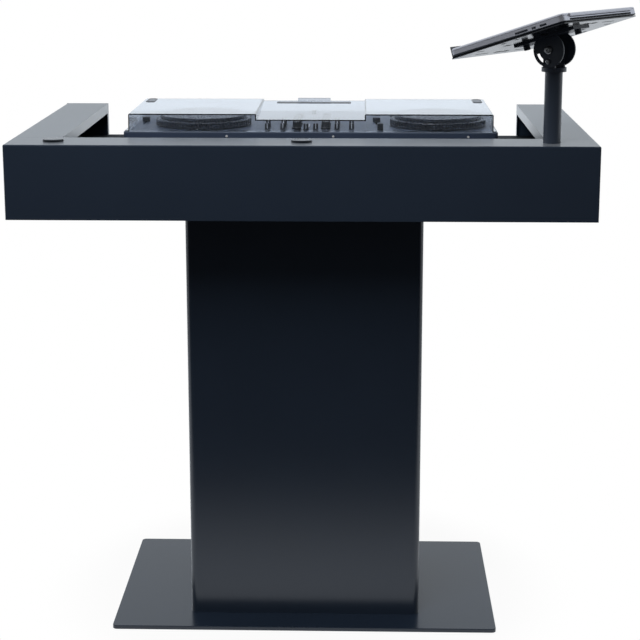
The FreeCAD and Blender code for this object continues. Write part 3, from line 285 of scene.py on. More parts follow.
# %% Material helpers
def plain(name, colour, roughness, **sockets):
    """A material with one shader; the other sockets are set by name, with _ for a space."""
    material = bpy.data.materials.new(name)
    material.use_nodes = True
    shader = material.node_tree.nodes["Principled BSDF"]
    shader.inputs["Base Color"].default_value = (*colour, 1)
    shader.inputs["Roughness"].default_value = roughness
    for key, value in sockets.items():
        shader.inputs[key.replace("_", " ")].default_value = value
    return material


def noise(tree, scale, detail=2.0):
    """Noise in the piece's own metres: scale is the number of lumps per metre."""
    texture = new_node(tree, "ShaderNodeTexNoise")
    texture.inputs["Scale"].default_value = scale
    texture.inputs["Detail"].default_value = detail
    tree.links.new(new_node(tree, "ShaderNodeTexCoord").outputs["Object"], texture.inputs["Vector"])
    return texture.outputs["Fac"]


print("material helpers: plain, noise")

# %% Grain
drift_scale, patch_ratio = 7.0, 9
noise_span, drift_span = (0.3, 0.7), (0.35, 0.65)


def grain(material, per_metre, depth, rough_spread, tint_spread):
    """Adds a fine bump (lumps per metre, depth in metres), patches of more and less roughness, wider
    than the lumps, and a slow drift of colour, both as a spread about the plain value."""
    tree = material.node_tree
    shader = tree.nodes["Principled BSDF"]
    bump = new_node(tree, "ShaderNodeBump")
    bump.inputs["Distance"].default_value = depth
    tree.links.new(noise(tree, per_metre, 3.0), bump.inputs["Height"])
    tree.links.new(bump.outputs["Normal"], shader.inputs["Normal"])
    rough = shader.inputs["Roughness"].default_value
    patches = noise(tree, per_metre / patch_ratio)
    spread = ramp_between(tree, patches, *noise_span, rough - rough_spread, rough + rough_spread)
    tree.links.new(spread, shader.inputs["Roughness"])
    colour = shader.inputs["Base Color"].default_value
    drift = new_node(tree, "ShaderNodeValToRGB")
    gains = (1 - tint_spread, 1 + tint_spread)
    for element, place, gain in zip(drift.color_ramp.elements, drift_span, gains):
        element.position = place
        element.color = (*(channel * gain for channel in colour[:3]), 1)
    tree.links.new(noise(tree, drift_scale, 4.0), drift.inputs["Fac"])
    tree.links.new(drift.outputs["Color"], shader.inputs["Base Color"])
    return material


def uneven(name, colour, roughness, unevenness, **sockets):
    """A plain material with grain: unevenness holds the last four values that grain takes."""
    return grain(plain(name, colour, roughness, **sockets), *unevenness)


print("material helpers: grain, uneven")

# %% [markdown]
# ## Coats
#
# The booth is powder coated in a dark blue-grey. Powder melts into a skin with a faint orange peel, a
# millimetre or so from crest to crest, and a satin gloss: straight on it is nearly black, and at a
# glancing angle it mirrors the white studio. A mirror alone leaves the rails too dark, so a sheen lays
# a pale veil over them; the base plate goes without. The arm and the laptop tray have smoother, blacker
# coats. The floor of the controller's tray is matte, and its colour is darker than the coat's: painted
# shade for that recess.

# %% Coats
def powder(name, sheen):
    """The booth's powder coat; a sheen gives it a pale veil at glancing angles."""
    return uneven(name, (0.0168, 0.0262, 0.0440), 0.24, (700, 1.5e-6, 0.012, 0.03), Sheen_Weight=sheen,
                  Sheen_Roughness=0.35, Sheen_Tint=(0.86, 0.93, 1.0, 1))


coat = powder("slate_powder_coat", 0.85)
base_coat = powder("base_powder_coat", 0.0)
# painted shade: the tray floor's darker colour stands for the shade in its recess; its roughness is a matte finish
tray_floor_painted_shade = uneven("matte_tray_coat_painted_shade", (0.0070, 0.0090, 0.0130), 0.75, (900, 6e-5, 0.05, 0.08), IOR=1.3)
arm_coat = uneven("black_arm_coat", (0.0340, 0.0450, 0.0660), 0.34, (900, 6e-6, 0.04, 0.05))
tray_coat = uneven("laptop_tray_coat", (0.0120, 0.0135, 0.0170), 0.12, (900, 2e-7, 0.01, 0.05))
print("coats:", [material.name for material in (coat, base_coat, tray_floor_painted_shade, arm_coat, tray_coat)])

# %% [markdown]
# ## Plastics, rubber and paint
#
# The controller is moulded plastic with a fine grain, its pads and feet are rubber, and its marks are
# printed in white. Each could have a shader of its own, but they differ only in a few numbers, so one
# row of values for each is enough.

# %% Plastics, rubber and paint
rubber = uneven("black_rubber", (0.012, 0.012, 0.013), 0.75, (1500, 2e-5, 0.06, 0.12))
black_plastic = uneven("black_plastic", (0.012, 0.015, 0.021), 0.42, (2500, 6e-6, 0.05, 0.06))
cap_plastic = uneven("cap_plastic", (0.010, 0.013, 0.019), 0.24, (2500, 3e-6, 0.04, 0.06))
chassis_plastic = uneven("chassis_plastic", (0.040, 0.056, 0.094), 0.45, (2500, 6e-6, 0.05, 0.05))
panel_plastic = uneven("panel_plastic", (0.056, 0.074, 0.110), 0.36, (2500, 6e-6, 0.04, 0.05))
jog_plastic = uneven("jog_plastic", (0.020, 0.025, 0.036), 0.32, (2500, 4e-6, 0.03, 0.05))
control_plastic = uneven("control_plastic", (0.016, 0.019, 0.025), 0.36, (3000, 5e-6, 0.05, 0.06))
# white print, which also draws the trim knobs' painted highlights
print_and_highlight_paint = uneven("print_and_highlight_paint", (0.62, 0.64, 0.68), 0.5, (3000, 1e-5, 0.05, 0.04))
board_lacquer = uneven("board_lacquer", (0.010, 0.060, 0.030), 0.35, (400, 3e-5, 0.05, 0.2))
print("finishes so far:", len(bpy.data.materials))

# %% [markdown]
# ## Metals and glass
#
# Fasteners are zinc-plated steel, the laptop is blasted aluminium and its screen is dark glass. Picture
# textures would bring reflections of their own; a metallic shader takes them from the room. The
# aluminium is not wholly metallic, because its blasted skin scatters a part of the light.

# %% Metals and glass
steel = uneven("zinc_steel", (0.50, 0.50, 0.50), 0.34, (900, 2e-5, 0.06, 0.08), Metallic=1.0)
jack_metal = uneven("jack_metal", (0.46, 0.46, 0.48), 0.28, (1500, 1e-5, 0.05, 0.05), Metallic=1.0)
laptop_metal = uneven("blasted_aluminium", (0.56, 0.565, 0.62), 0.40, (4000, 3e-6, 0.04, 0.03),
                      Metallic=0.8)
screen_glass = uneven("screen_glass", (0.006, 0.006, 0.007), 0.09, (30, 2e-6, 0.02, 0.1))
print("finishes so far:", len(bpy.data.materials))

# %% [markdown]
# ## Clear cover
#
# The dust cover is vacuum-formed clear acrylic with the least smoke in it. A mix of a see-through and a
# glossy shader would be quick, but would not bend light. The solid is a closed shell, so a transmitting
# shader bends light on the way in and out as in the real sheet; a slight haze stands for fine scratches.

# %% Clear cover
clear_acrylic = uneven("clear_acrylic", (0.82, 0.85, 0.90), 0.015, (60, 4e-6, 0.010, 0.02), IOR=1.49,
                       Transmission_Weight=1.0)
print("cover:", clear_acrylic.name)

# %% [markdown]
# ## Solids that keep their shape
#
# Sheet metal, plates and cast pieces are already right as solids: folds, bends and holes are in them.
# They could be modelled again, but that would only risk a change. So each takes the finish of its
# material slot, and three of them take a finish of their own.

# %% Finishes on the solids
finish_of_slot = {
    "coat": coat, "rubber": rubber, "steel": steel, "black_plastic": black_plastic,
    "cap_plastic": cap_plastic, "arm_coat": arm_coat, "tray_coat": tray_coat,
    "laptop_metal": laptop_metal, "screen_glass": screen_glass, "board": board_lacquer,
    "panel": panel_plastic, "jack_metal": jack_metal, "jog": jog_plastic,
    "control": control_plastic, "clear_cover": clear_acrylic,
}
own_finish = {"tray_floor": tray_floor_painted_shade, "base_plate": base_coat, "controller_chassis": chassis_plastic}
for name, node in frame["nodes"].items():
    node.data.materials.clear()
    node.data.materials.append(own_finish.get(name, finish_of_slot[slot_of_node[name]]))
print("dressed:", len(frame["nodes"]), "solids")

# %% [markdown]
# ## Surfaces from arrays
#
# The small pieces are turned on a lathe or moulded, so two kinds of surface are enough. A turned piece
# is a profile of radius and height carried round a circle. A moulded block is a rounded outline that
# rises and draws in. Modifiers could do both, but arrays keep every point where the formula puts it.
# Shapes are written in millimetres, as a maker would, and are scaled when they are put in their place.

# %% Turned rings
def turned(profile, steps=64, ripple=None):
    """Each point (radius, height) of the profile goes once round the upright axis. The ripple takes
    the radius, the height and the angle, and returns the radius to use instead."""
    profile = np.asarray(profile, float)
    angle = np.linspace(0, 2 * np.pi, steps, endpoint=False)[None, :]
    radius, height = (np.repeat(profile[:, k:k + 1], steps, axis=1) for k in (0, 1))
    if ripple:
        radius = ripple(radius, height, angle)
    return np.stack([radius * np.cos(angle), radius * np.sin(angle), height], axis=-1)


print("surface helper: turned")

# %% Moulded rings
def outline(half_x, half_y, radius, steps=6):
    """A rectangle with rounded corners, anticlockwise: four quarter circles, each about the point that
    lies one radius inside its corner."""
    corner = np.arange(4)[:, None] * np.pi / 2
    sweep = corner + np.linspace(0, np.pi / 2, steps)
    x = np.sign(np.cos(corner + 1)) * (half_x - radius) + radius * np.cos(sweep)
    y = np.sign(np.sin(corner + 1)) * (half_y - radius) + radius * np.sin(sweep)
    return np.stack([x.ravel(), y.ravel()], axis=-1)


def ringed(rows):
    """Rings of points from rows of half width, half depth, corner radius and height."""
    rings = []
    for half_x, half_y, radius, height in rows:
        flat = outline(half_x, half_y, radius)
        rings.append(np.column_stack([flat, np.full(len(flat), height)]))
    return np.stack(rings)


least_corner = 0.1


def moulded(half_x, half_y, foot, top, radius, edge):
    """A rounded outline that rises straight, then draws in along a quarter circle at its top edge."""
    sweep = np.linspace(0, np.pi / 2, 5)
    inset = np.concatenate([[0], edge * (1 - np.cos(sweep))])
    level = np.concatenate([[foot], top - edge + edge * np.sin(sweep)])
    corner = np.maximum(radius - inset, least_corner)
    return ringed(np.stack([half_x - inset, half_y - inset, corner, level], axis=-1))


print("surface helpers: outline, ringed, moulded")

# %% Faces between rings
def skin(rings, wrap=False):
    """Joins each ring to the next with four-sided faces. A wrapped surface also joins the last ring to
    the first; any other gets a flat face over each end."""
    count, steps = rings.shape[:2]
    index = np.arange(count * steps).reshape(count, steps)
    rows = np.vstack([index, index[:1]]) if wrap else index
    after = np.roll(rows, -1, axis=1)
    faces = [np.stack([rows[:-1], after[:-1], after[1:], rows[1:]], axis=-1).reshape(-1, 4)]
    if not wrap:
        faces += [index[:1, ::-1], index[-1:]]
    return rings.reshape(-1, 3), faces


def put(rings, origin, axes=np.eye(3), wrap=False):
    """Scales a shape from millimetres and moves it to a place: its own three axes become those given."""
    return skin(np.asarray(origin, float) + rings @ np.asarray(axes, float) / 1000, wrap)


print("surface helpers: skin, put")

# %% Pieces on their bodies
crease = math.radians(38)


def build(name, sheets, finish, body, slot, *replaced, uv=None):
    """One object from several sheets, smooth but for its sharper edges, on the body that carries it."""
    start = np.cumsum([0] + [len(points) for points, faces in sheets])
    polygons = [face for (points, faces), first in zip(sheets, start) for group in faces
                for face in (group + first).tolist()]
    mesh = bpy.data.meshes.new(name)
    mesh.from_pydata(np.concatenate([points for points, faces in sheets]).tolist(), [], polygons)
    mesh.shade_smooth()
    mesh.set_sharp_from_angle(angle=crease)
    mesh.materials.append(finish)
    if uv is not None:
        corner = np.empty(len(mesh.loops), dtype=np.int32)
        mesh.loops.foreach_get("vertex_index", corner)
        mesh.uv_layers.new(name="turn").uv.foreach_set("vector", uv[corner].ravel().astype(np.float32))
    piece = bpy.data.objects.new(name, mesh)
    scene.collection.objects.link(piece)
    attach(piece, body)
    if replaced:
        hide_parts(*replaced)
    return piece


def stand_in(name, sheets, body, node):
    """A piece that replaces a solid, with the finish of the solid's slot."""
    return build(name, sheets, finish_of_slot[slot_of_node[node]], body, slot_of_node[node], node)


print("faces wider than", round(math.degrees(crease)), "degrees apart keep a sharp edge")

# %% Places from the solids
def box_of(node):
    """Middle of a solid's box, and its lowest and highest corner, in metres."""
    low, high = (np.array(corner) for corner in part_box(node))
    return (low + high) / 2, low, high


def top_of(node):
    """Middle of the top side of a solid's box, in metres."""
    middle, _, high = box_of(node)
    return np.array([middle[0], middle[1], high[2]])


controller_x, controller_y, panel_top = top_of("controller_panel")
print("panel top at", round(panel_top, 4), "middle at", round(controller_x, 4), round(controller_y, 4))

# %% [markdown]
# ## Jog finish
#
# The big wheels are dark plastic at the rim and turned metal on top. Two materials would have to meet at
# an edge of the mesh; one can change with height instead. Each point keeps its radius and height, in
# millimetres, in a UV map: the height parts metal from plastic, and fine lines follow the radius.

# %% Jog finish
platter_metal = (0.070, 0.075, 0.086, 1)
platter_from, platter_to = 20.5, 21.6
line_rate, line_depth = 4.2, 6e-6  # radians per millimetre, metres
jog_platter = uneven("jog_platter", (0.021, 0.028, 0.043), 0.28, (2500, 4e-6, 0.03, 0.05))
tree = jog_platter.node_tree
shader = tree.nodes["Principled BSDF"]
fine_bump = shader.inputs["Normal"].links[0].from_node
dark_rim = shader.inputs["Base Color"].links[0].from_socket
turning = new_node(tree, "ShaderNodeUVMap", uv_map="turn")
radius_height = new_node(tree, "ShaderNodeSeparateXYZ")
tree.links.new(turning.outputs["UV"], radius_height.inputs[0])
waves = new_node(tree, "ShaderNodeMath", operation="MULTIPLY")
waves.inputs[1].default_value = line_rate
tree.links.new(radius_height.outputs["X"], waves.inputs[0])
lines = new_node(tree, "ShaderNodeMath", operation="SINE")
tree.links.new(waves.outputs[0], lines.inputs[0])
ridges = new_node(tree, "ShaderNodeBump")
ridges.inputs["Distance"].default_value = line_depth
tree.links.new(lines.outputs[0], ridges.inputs["Height"])
tree.links.new(ridges.outputs["Normal"], fine_bump.inputs["Normal"])
on_platter = ramp_between(tree, radius_height.outputs["Y"], platter_from, platter_to, 0.0, 1.0)
tree.links.new(mixed(tree, "RGBA", on_platter, dark_rim, platter_metal), shader.inputs["Base Color"])
tree.links.new(on_platter, shader.inputs["Metallic"])
print("jog finish:", len(tree.nodes), "nodes")

# %% [markdown]
# ## Jog wheels
#
# A jog wheel is the disc that a player turns by hand: a knurled rim, a step, and a platter with a dimple
# for one finger. It could be a cylinder with cut notches. One turned profile keeps it a single closed
# skin: the rim's scallops are a ripple in radius, and the dimple sinks the points that lie near it.

# %% Jog wheels
bore, rim_wide, platter_inset, platter_hole = 8.1, 9, 2.4, 3
hollow_depth, hollow_inner, hollow_outer = 0.6, 22, 18
scallops, scallop_depth = 36, 0.9
dimple_place, dimple_radius, dimple_depth = 0.7, 9, 1.5


def jog_wheel(node, body):
    """Bore, foot, knurled rim, step and platter as one turned profile. The rim's radius dips with the
    square of a sine. The dimple's depth is the square of one less the squared distance from its middle."""
    middle, low, high = box_of(node)
    radius = (high - low)[0] * 500
    height = (high - low)[2] * 1000
    step = radius - rim_wide
    platter = np.linspace(step - platter_inset, platter_hole, 60)
    crown = np.interp(platter, (0, step - hollow_inner, step - hollow_outer, step - platter_inset),
                      (-hollow_depth, -hollow_depth, 0, 0))
    profile = np.array([
        (bore, 14.6), (bore, 0), (radius - 1.5, 0), (radius - 0.4, 0.4), (radius, 1.4), (radius, 3),
        (radius, 11), (radius, 12.4), (radius - 0.6, 13.5), (radius - 1.8, 14), (step + 1.0, 14),
        (step, 14.6), (step, 20.4), (step - 0.5, 21.5), (step - 1.6, height)])
    profile = np.vstack([profile, np.stack([platter, height + crown], axis=-1)])

    def knurl(radius_now, height_now, angle):
        on_rim = (radius_now > radius - 0.3) & (height_now > 2) & (height_now < 12)
        return radius_now - on_rim * scallop_depth * np.sin(scallops * angle) ** 2

    rings = turned(profile, 360, knurl)
    gap = np.hypot(rings[..., 0] - dimple_place * step, rings[..., 1]) / dimple_radius
    in_dimple = (rings[..., 2] > height - 1) & (gap < 1)
    rings[..., 2] -= np.where(in_dimple, dimple_depth * (1 - np.clip(gap, 0, 1) ** 2) ** 2, 0)
    uv = np.stack([np.hypot(rings[..., 0], rings[..., 1]).ravel(), rings[..., 2].ravel()], axis=-1)
    place = (middle[0], middle[1], low[2])
    return build(node + "_turned", [put(rings, place)], jog_platter, body, "jog", node, uv=uv)


for side in ("left", "right"):
    wheel = jog_wheel(f"jog_wheel_{side}", f"jog_{side}")
    print(wheel.name, len(wheel.data.polygons), "faces")

# %% [markdown]
# ## Tone knobs
#
# Three knobs for each deck set its bass, middle and treble. A knob is moulded with a skirt, a fluted
# grip and a stem that runs through the panel, and has a white pointer that faces away from the player
# at rest. Flutes could be cut with an array of cylinders; a ripple in the radius needs no cutting.

# %% Tone knobs
def fluted(count, low, high, depth, least=4):
    """A ripple for a grip: between two heights, outside the least radius, it dips count times a turn."""
    def ripple(radius, height, angle):
        on_grip = (height > low) & (height < high) & (radius > least)
        return radius - on_grip * depth * np.sin(count * angle / 2) ** 2
    return ripple


def pointer(size, foot, top, shift_y):
    """A thin raised bar for a white mark, moved along its own second axis."""
    return moulded(size[0] / 2, size[1] / 2, foot, top, radius=0.3, edge=0.15) + (0, shift_y, 0)


knob_high = 0.016
knob_profile = [(3, -10), (3, 0), (9.4, 0), (10, 0.6), (10, 3.2), (9.6, 3.8), (8.2, 4), (8, 4.4), (8, 5),
                (7.7, 14), (7.6, 15), (7.1, 15.7), (6.4, 16), (5.2, 16), (4.6, 15.7), (1, 15.7)]
grip = turned(knob_profile, 120, fluted(20, 4.7, 15.5, 0.55))
mark = pointer((1.1, 5.6), 15.5, 15.95, -3.6)
knobs = [f"tone_knob_{side}_{row}" for side in ("left", "right") for row in (1, 2, 3)]
for node in knobs:
    foot = top_of(node) - (0, 0, knob_high)
    stand_in(node + "_turned", [put(grip, foot)], node + "_body", node)
    build(node + "_pointer", [put(mark, foot)], print_and_highlight_paint, node + "_body", "control")
print("tone knobs:", len(knobs))

# %% [markdown]
# ## Fader caps
#
# Faders slide in slots of the panel: a pitch and a channel fader for each deck, and a crossfader that
# moves sideways. A cap is waisted, with a hollow for the fingertip and a white line. A box with loop
# cuts could be pushed into shape; here its section is carried along it and drawn in at both ends, so that
# one list of points holds all that the finger feels.

# %% Fader caps
cap_high = 0.009
fader_section = np.array([
    (-4.6, 0), (4.6, 0), (5, 0.5), (4.5, 4), (4.4, 8.2), (3.7, 9), (2.6, 8.6), (1.2, 8.0), (0, 7.8),
    (-1.2, 8.0), (-2.6, 8.6), (-3.7, 9), (-4.4, 8.2), (-4.5, 4), (-5, 0.5)])


def fader_cap():
    """The section across the cap is carried along it; towards each end it shrinks a little about its
    own middle, which rounds the ends."""
    station = np.array([-8, -7.8, -7.2, -6, 6, 7.2, 7.8, 8])
    scale = np.array([0.86, 0.94, 0.985, 1, 1, 0.985, 0.94, 0.86])
    middle = np.array([0, 4.2])
    across = middle + (fader_section - middle)[None] * scale[:, None, None]
    along = np.broadcast_to(station[:, None, None], (*across.shape[:2], 1))
    return np.concatenate([across, along], axis=-1)


stem = moulded(2, 2, foot=-12, top=1, radius=0.4, edge=0.3)
upright_axes, sideways_axes = [(0, 1, 0), (0, 0, 1), (1, 0, 0)], [(-1, 0, 0), (0, 0, 1), (0, 1, 0)]
line_wide, line_long = 0.9, 13.6
faders = ("pitch_fader_left", "pitch_fader_right", "channel_fader_left", "channel_fader_right", "crossfader")
for node in faders:
    foot = top_of(node) - (0, 0, cap_high)
    sideways = node == "crossfader"
    sheets = [put(fader_cap(), foot, sideways_axes if sideways else upright_axes), put(stem, foot)]
    stand_in(node + "_moulded", sheets, node + "_cap", node)
    line = pointer((line_wide, line_long) if sideways else (line_long, line_wide), 7.5, 8.0, 0)
    build(node + "_line", [put(line, foot)], print_and_highlight_paint, node + "_cap", "control")
print("fader caps:", len(faders))

# %% [markdown]
# ## Buttons
#
# Each deck has a cue and a play button, short round caps that press into the panel and spring back. A
# bevelled cylinder would come close. A turned profile also gives the softened rim and a shallow dish.

# %% Buttons
button_proud = 0.003
button_profile = [(12.6, -5), (13, -4.6), (13, 2.0), (12.85, 2.55), (12.5, 2.9), (11.9, 3.0), (10.6, 2.8),
                  (6, 2.5), (1, 2.4)]
button = turned(button_profile, 72)
buttons = [f"{use}_button_{side}" for side in ("left", "right") for use in ("cue", "play")]
for node in buttons:
    place = top_of(node) - (0, 0, button_proud)
    stand_in(node + "_turned", [put(button, place)], node + "_body", node)
print("buttons:", len(buttons))

# %% [markdown]
# ## Pad mats
#
# The eight pads of a deck are one piece of moulded rubber: a thin base with crowned pads on it. An
# array modifier could repeat one pad; a loop places them from the mat's own box, so they follow the
# solid if its size changes.

# %% Pad mats
pad_columns, pad_rows, pad_gap = 4, 2, 2.5
for side in ("left", "right"):
    node = f"pad_mat_{side}"
    middle, low, high = box_of(node)
    half = (high - low)[:2] * 500
    cell = half * 2 / (pad_columns, pad_rows)
    foot = (middle[0], middle[1], low[2])
    pad = moulded(*(cell / 2 - pad_gap), foot=1.3, top=4.5, radius=2.4, edge=1.2)
    sheets = [put(moulded(*half, foot=0, top=1.5, radius=2, edge=0.4), foot)]
    for column in range(pad_columns):
        for row in range(pad_rows):
            shift = (cell[0] * (column - (pad_columns - 1) / 2), cell[1] * (row - (pad_rows - 1) / 2), 0)
            sheets.append(put(pad + shift, foot))
    stand_in(node + "_moulded", sheets, "controller", node)
    print(node, "pads:", len(sheets) - 1)

# %% [markdown]
# ## Trim knobs
#
# The mixer has more small knobs near the audience's edge, and a square switch beside them. Each knob has a
# white pointer on top, and a white line down the side that faces the audience is a painted highlight for
# its gloss; in the picture they are dark and light strokes behind the cover. They could be copies of a
# tone knob, but are thinner, so they have a profile of their own. The solids give them no joint, so all are
# built together and ride with the controller.

# %% Trim knobs
trim_profile = [(6.2, -0.3), (6.2, 0.8), (5.6, 1.2), (5.4, 2), (5.0, 11.6), (4.6, 12.6), (3.8, 13), (1, 13)]
trim_places = [(-90, -134), (-90, -96), (-58, -134), (-58, -96), (-58, -58), (-10, -138), (10, -138),
               (54, -134), (54, -96), (54, -58), (84, -134), (84, -96)]
trim_knob = turned(trim_profile, 60, fluted(14, 1.9, 12.7, 0.5))
# painted highlight: a white line down the side of each knob that faces the audience stands for its gloss
painted_highlight_line = pointer((1.8, 1.0), 2.6, 12.2, -5.0)
top_line = pointer((1.8, 4.8), 12.8, 13.2, -2.6)
sheets, marks_and_highlights = [], []
for sideways, lengthwise in trim_places:
    place = (controller_x + sideways / 1000, controller_y + lengthwise / 1000, panel_top)
    sheets.append(put(trim_knob, place))
    marks_and_highlights += [put(painted_highlight_line, place), put(top_line, place)]
switch = moulded(6, 6, foot=-0.3, top=14, radius=1.6, edge=1.0)
switch_place = (controller_x + 0.143, controller_y - 0.142, panel_top)
sheets.append(put(switch, switch_place))
build("trim_knobs", sheets, control_plastic, "controller", "control")
build("trim_marks_and_painted_highlights", marks_and_highlights, print_and_highlight_paint, "controller", "control")
print("trim knobs:", len(trim_places))

# %% [markdown]
# ## Level meters
#
# Two slim strips in the middle of the mixer show how loud each deck is. Lit segments could be drawn by a
# material; the controller is switched off here, so low moulded strips of dark glass are enough.

# %% Level meters
meter = moulded(2.6, 34, foot=-0.3, top=1.0, radius=1.0, edge=0.4)
meter_y = controller_y - 0.075
sheets = [put(meter, (controller_x + across / 1000, meter_y, panel_top)) for across in (-6, 6)]
build("level_meters", sheets, screen_glass, "controller", "screen_glass")
print("level meters:", len(sheets))

# %% [markdown]
# ## Sockets
#
# The controller's back faces the audience and carries a row of round sockets, each a hexagonal nut round
# a threaded tube. The nut could be a six-sided cylinder; here it is a ripple too, a flat side's distance
# divided by a cosine, so nut and tube stay one skin. It lies on its side, in axes of its own.

# %% Sockets
def hexagon(flat, chosen):
    """A ripple that makes a hexagon of the chosen rings, with the given distance to its flat sides."""
    def ripple(radius, height, angle):
        corner = flat / np.cos(np.mod(angle, np.pi / 3) - np.pi / 6)
        return np.where(chosen(radius, height), corner, radius)
    return ripple


facing_audience = [(1, 0, 0), (0, 0, 1), (0, -1, 0)]
jack_profile = [(7.5, 0), (7.5, 2.6), (6.2, 2.7), (6.2, 6.6), (5.9, 7), (4.3, 7), (3.8, 6.5), (3.8, 1.5)]
jack_shares = (-0.40, -0.33, -0.26, -0.12, -0.05, 0.05, 0.12, 0.26, 0.33, 0.40)
controller_wide = 0.766
jack = turned(jack_profile, 48, hexagon(6.8, lambda radius, height: radius > 7))
middle, _, high = box_of("controller_jacks")
sheets = [put(jack, (controller_x + share * controller_wide, high[1], middle[2]), facing_audience)
          for share in jack_shares]
stand_in("jack_sockets", sheets, "controller", "controller_jacks")
print("sockets:", len(sheets))

# %% [markdown]
# ## Chassis screws
#
# Three small screws hold the chassis together; in the picture they are glints below the cover. Their pale zinc
# is set mostly non-metallic, so that it is bright under any light: the plating's own colour and a painted
# glint. A dot of bright material would do from afar, but a turned head with a recess also holds in a
# close view.

# %% Chassis screws
# painted glint: pale zinc set mostly non-metallic, so the heads are bright under any light
zinc_with_painted_glint = uneven("zinc_with_painted_glint", (0.55, 0.56, 0.58), 0.45, (1500, 5e-6, 0.05, 0.05), Metallic=0.2)
screw_profile = [(2.6, 0), (2.6, 0.6), (2.3, 1.0), (1.8, 1.3), (1.0, 1.3), (0.7, 0.9), (0.2, 0.9)]
screw = turned(screw_profile, 32)
screw_level = panel_top - 0.009
chassis_face = box_of("controller_chassis")[1][1]
sheets = [put(screw, (controller_x + along, chassis_face, screw_level), facing_audience)
          for along in (-0.171, 0.047, 0.322)]
build("chassis_screws", sheets, zinc_with_painted_glint, "controller", "steel")
print("chassis screws:", len(sheets))

# %% [markdown]
# ## Cable rings and their caps
#
# Two plastic rings in the front rail line holes for cables, and each is closed by a flat cap with a
# rounded edge. A torus would give a ring but not its collar, so each is a turned profile; a ring's
# profile is closed on itself, so it needs no end faces.

# %% Rings and caps
ring_profile = [(14, -10), (17, -10), (17, 0), (19.8, 0), (20.5, 0.7), (20.4, 1.6), (19.6, 2.3), (18.6, 2.5),
                (15, 2.5), (14.3, 2.2), (14, 1.6)]
cap_profile = [(13, -7.9), (13.7, -7.4), (13.7, 0), (20.2, 0), (20.5, 0.3), (20.5, 1.3), (20.2, 1.8),
               (19.6, 2), (8, 2), (1, 2)]
ring_proud, cap_proud = 0.0025, 0.002
ring, cap = turned(ring_profile, 72), turned(cap_profile, 72)
ring_foot = top_of("grommet_rings")[2] - ring_proud
sheets = []
for label in ("left", "centre"):
    node = f"cable_cap_{label}"
    place = top_of(node) - (0, 0, cap_proud)
    sheets.append(put(ring, (place[0], place[1], ring_foot), wrap=True))
    stand_in(node + "_turned", [put(cap, place)], f"cap_{label}", node)
stand_in("grommet_rings_turned", sheets, "booth", "grommet_rings")
print("rings with caps:", len(sheets))

# %% [markdown]
# ## Tray grommet
#
# A wider grommet lines a hole in the tray's floor, where cables can drop. It could be the ring, scaled,
# but that would swell its lip as well, so it has a profile of its own.

# %% Tray grommet
grommet_profile = [(19, -2), (22, -2), (22, 0), (26.2, 0), (27, 0.8), (26.8, 1.9), (25.8, 2.7), (24.4, 3),
                   (20.4, 3), (19.4, 2.6), (19, 1.8)]
grommet_proud = 0.003
place = top_of("tray_grommet") - (0, 0, grommet_proud)
grommet = put(turned(grommet_profile, 72), place, wrap=True)
stand_in("tray_grommet_turned", [grommet], "booth", "tray_grommet")
print("tray grommet at", place.round(3).tolist())

# %% [markdown]
# ## Axes of the tilting head
#
# The laptop, its tray and their bolts all lie in the axes of a tilted head. They could be placed by eye
# and turned into line. It is safer to take the three axes from the frame's joints and to write every
# shape in them, because each piece is then in line with the way it moves.

# %% Axes of the head
joints = {joint["name"]: joint for joint in frame["joints"]}
pivot = np.array(joints["tray_tilt"]["pos_m"])
across = np.array(joints["tray_tilt"]["axis"], float)
across *= np.sign(across[1])
upward = np.array(joints["laptop_lift"]["axis"], float)
upward /= np.linalg.norm(upward)
toward_lip = np.cross(upward, across)
head_axes = np.stack([across, toward_lip, upward])
print("head axes", head_axes.round(4).tolist())

# %% [markdown]
# ## Pivot bolt
#
# The head tilts on a bolt with a domed head at each end and a hexagonal recess in both. It could be two
# heads and a rod; one profile from recess to recess makes a single skin, and the ripple of the nuts
# makes the innermost rings hexagonal.

# %% Pivot bolt
half_bolt = 23.7
head_end = np.array([(2.6, -2.4), (2.6, -5), (4.8, -5), (6.6, -4.3), (7.7, -3), (8, -1.6), (8, 0), (4, 0)])
near_end = head_end - (0, half_bolt)
far_end = head_end[::-1] * (1, -1) + (0, half_bolt)
bolt = turned(np.vstack([near_end, far_end]), 72, hexagon(2.4, lambda radius, height: radius < 3))
bolt_axes = [(-across[1], across[0], 0), (0, 0, 1), across]
build("pivot_bolt_turned", [put(bolt, pivot, bolt_axes)], steel, "arm", slot_of_node["pivot_bolt"],
      "pivot_bolt")
print("pivot bolt:", 2 * half_bolt, "mm between its heads")

# %% [markdown]
# ## Lock bolts
#
# Below the pivot a smaller bolt on each side locks the tilt. It could be a copy of the pivot bolt, but
# only its head shows, so a short profile is turned once and set on both sides, facing outward.

# %% Lock bolts
lock_drop, lock_gap = 0.022, 0.1
lock_profile = [(2, -2.2), (2, -3.6), (3.6, -3.6), (4.4, -3), (4.6, -2), (4.6, 0), (1, 0)]
lock = turned(lock_profile, 48, hexagon(1.8, lambda radius, height: (radius < 2.5) & (height < -1)))
sheets = []
for side in (1, -1):
    place = pivot - (0, 0, lock_drop) - side * (half_bolt + lock_gap) / 1000 * across
    axes = [(-across[1] * side, across[0] * side, 0), (0, 0, 1), side * across]
    sheets.append(put(lock, place, axes))
build("lock_bolts", sheets, steel, "arm", "steel")
print("lock bolts:", len(sheets))

# %% [markdown]
# ## Tray bolts
#
# Two bolts with knurled heads, made to be turned by hand, hold the laptop tray to the head. Knurls could
# be cut one by one; the ripple that flutes the knobs makes them too, only finer.

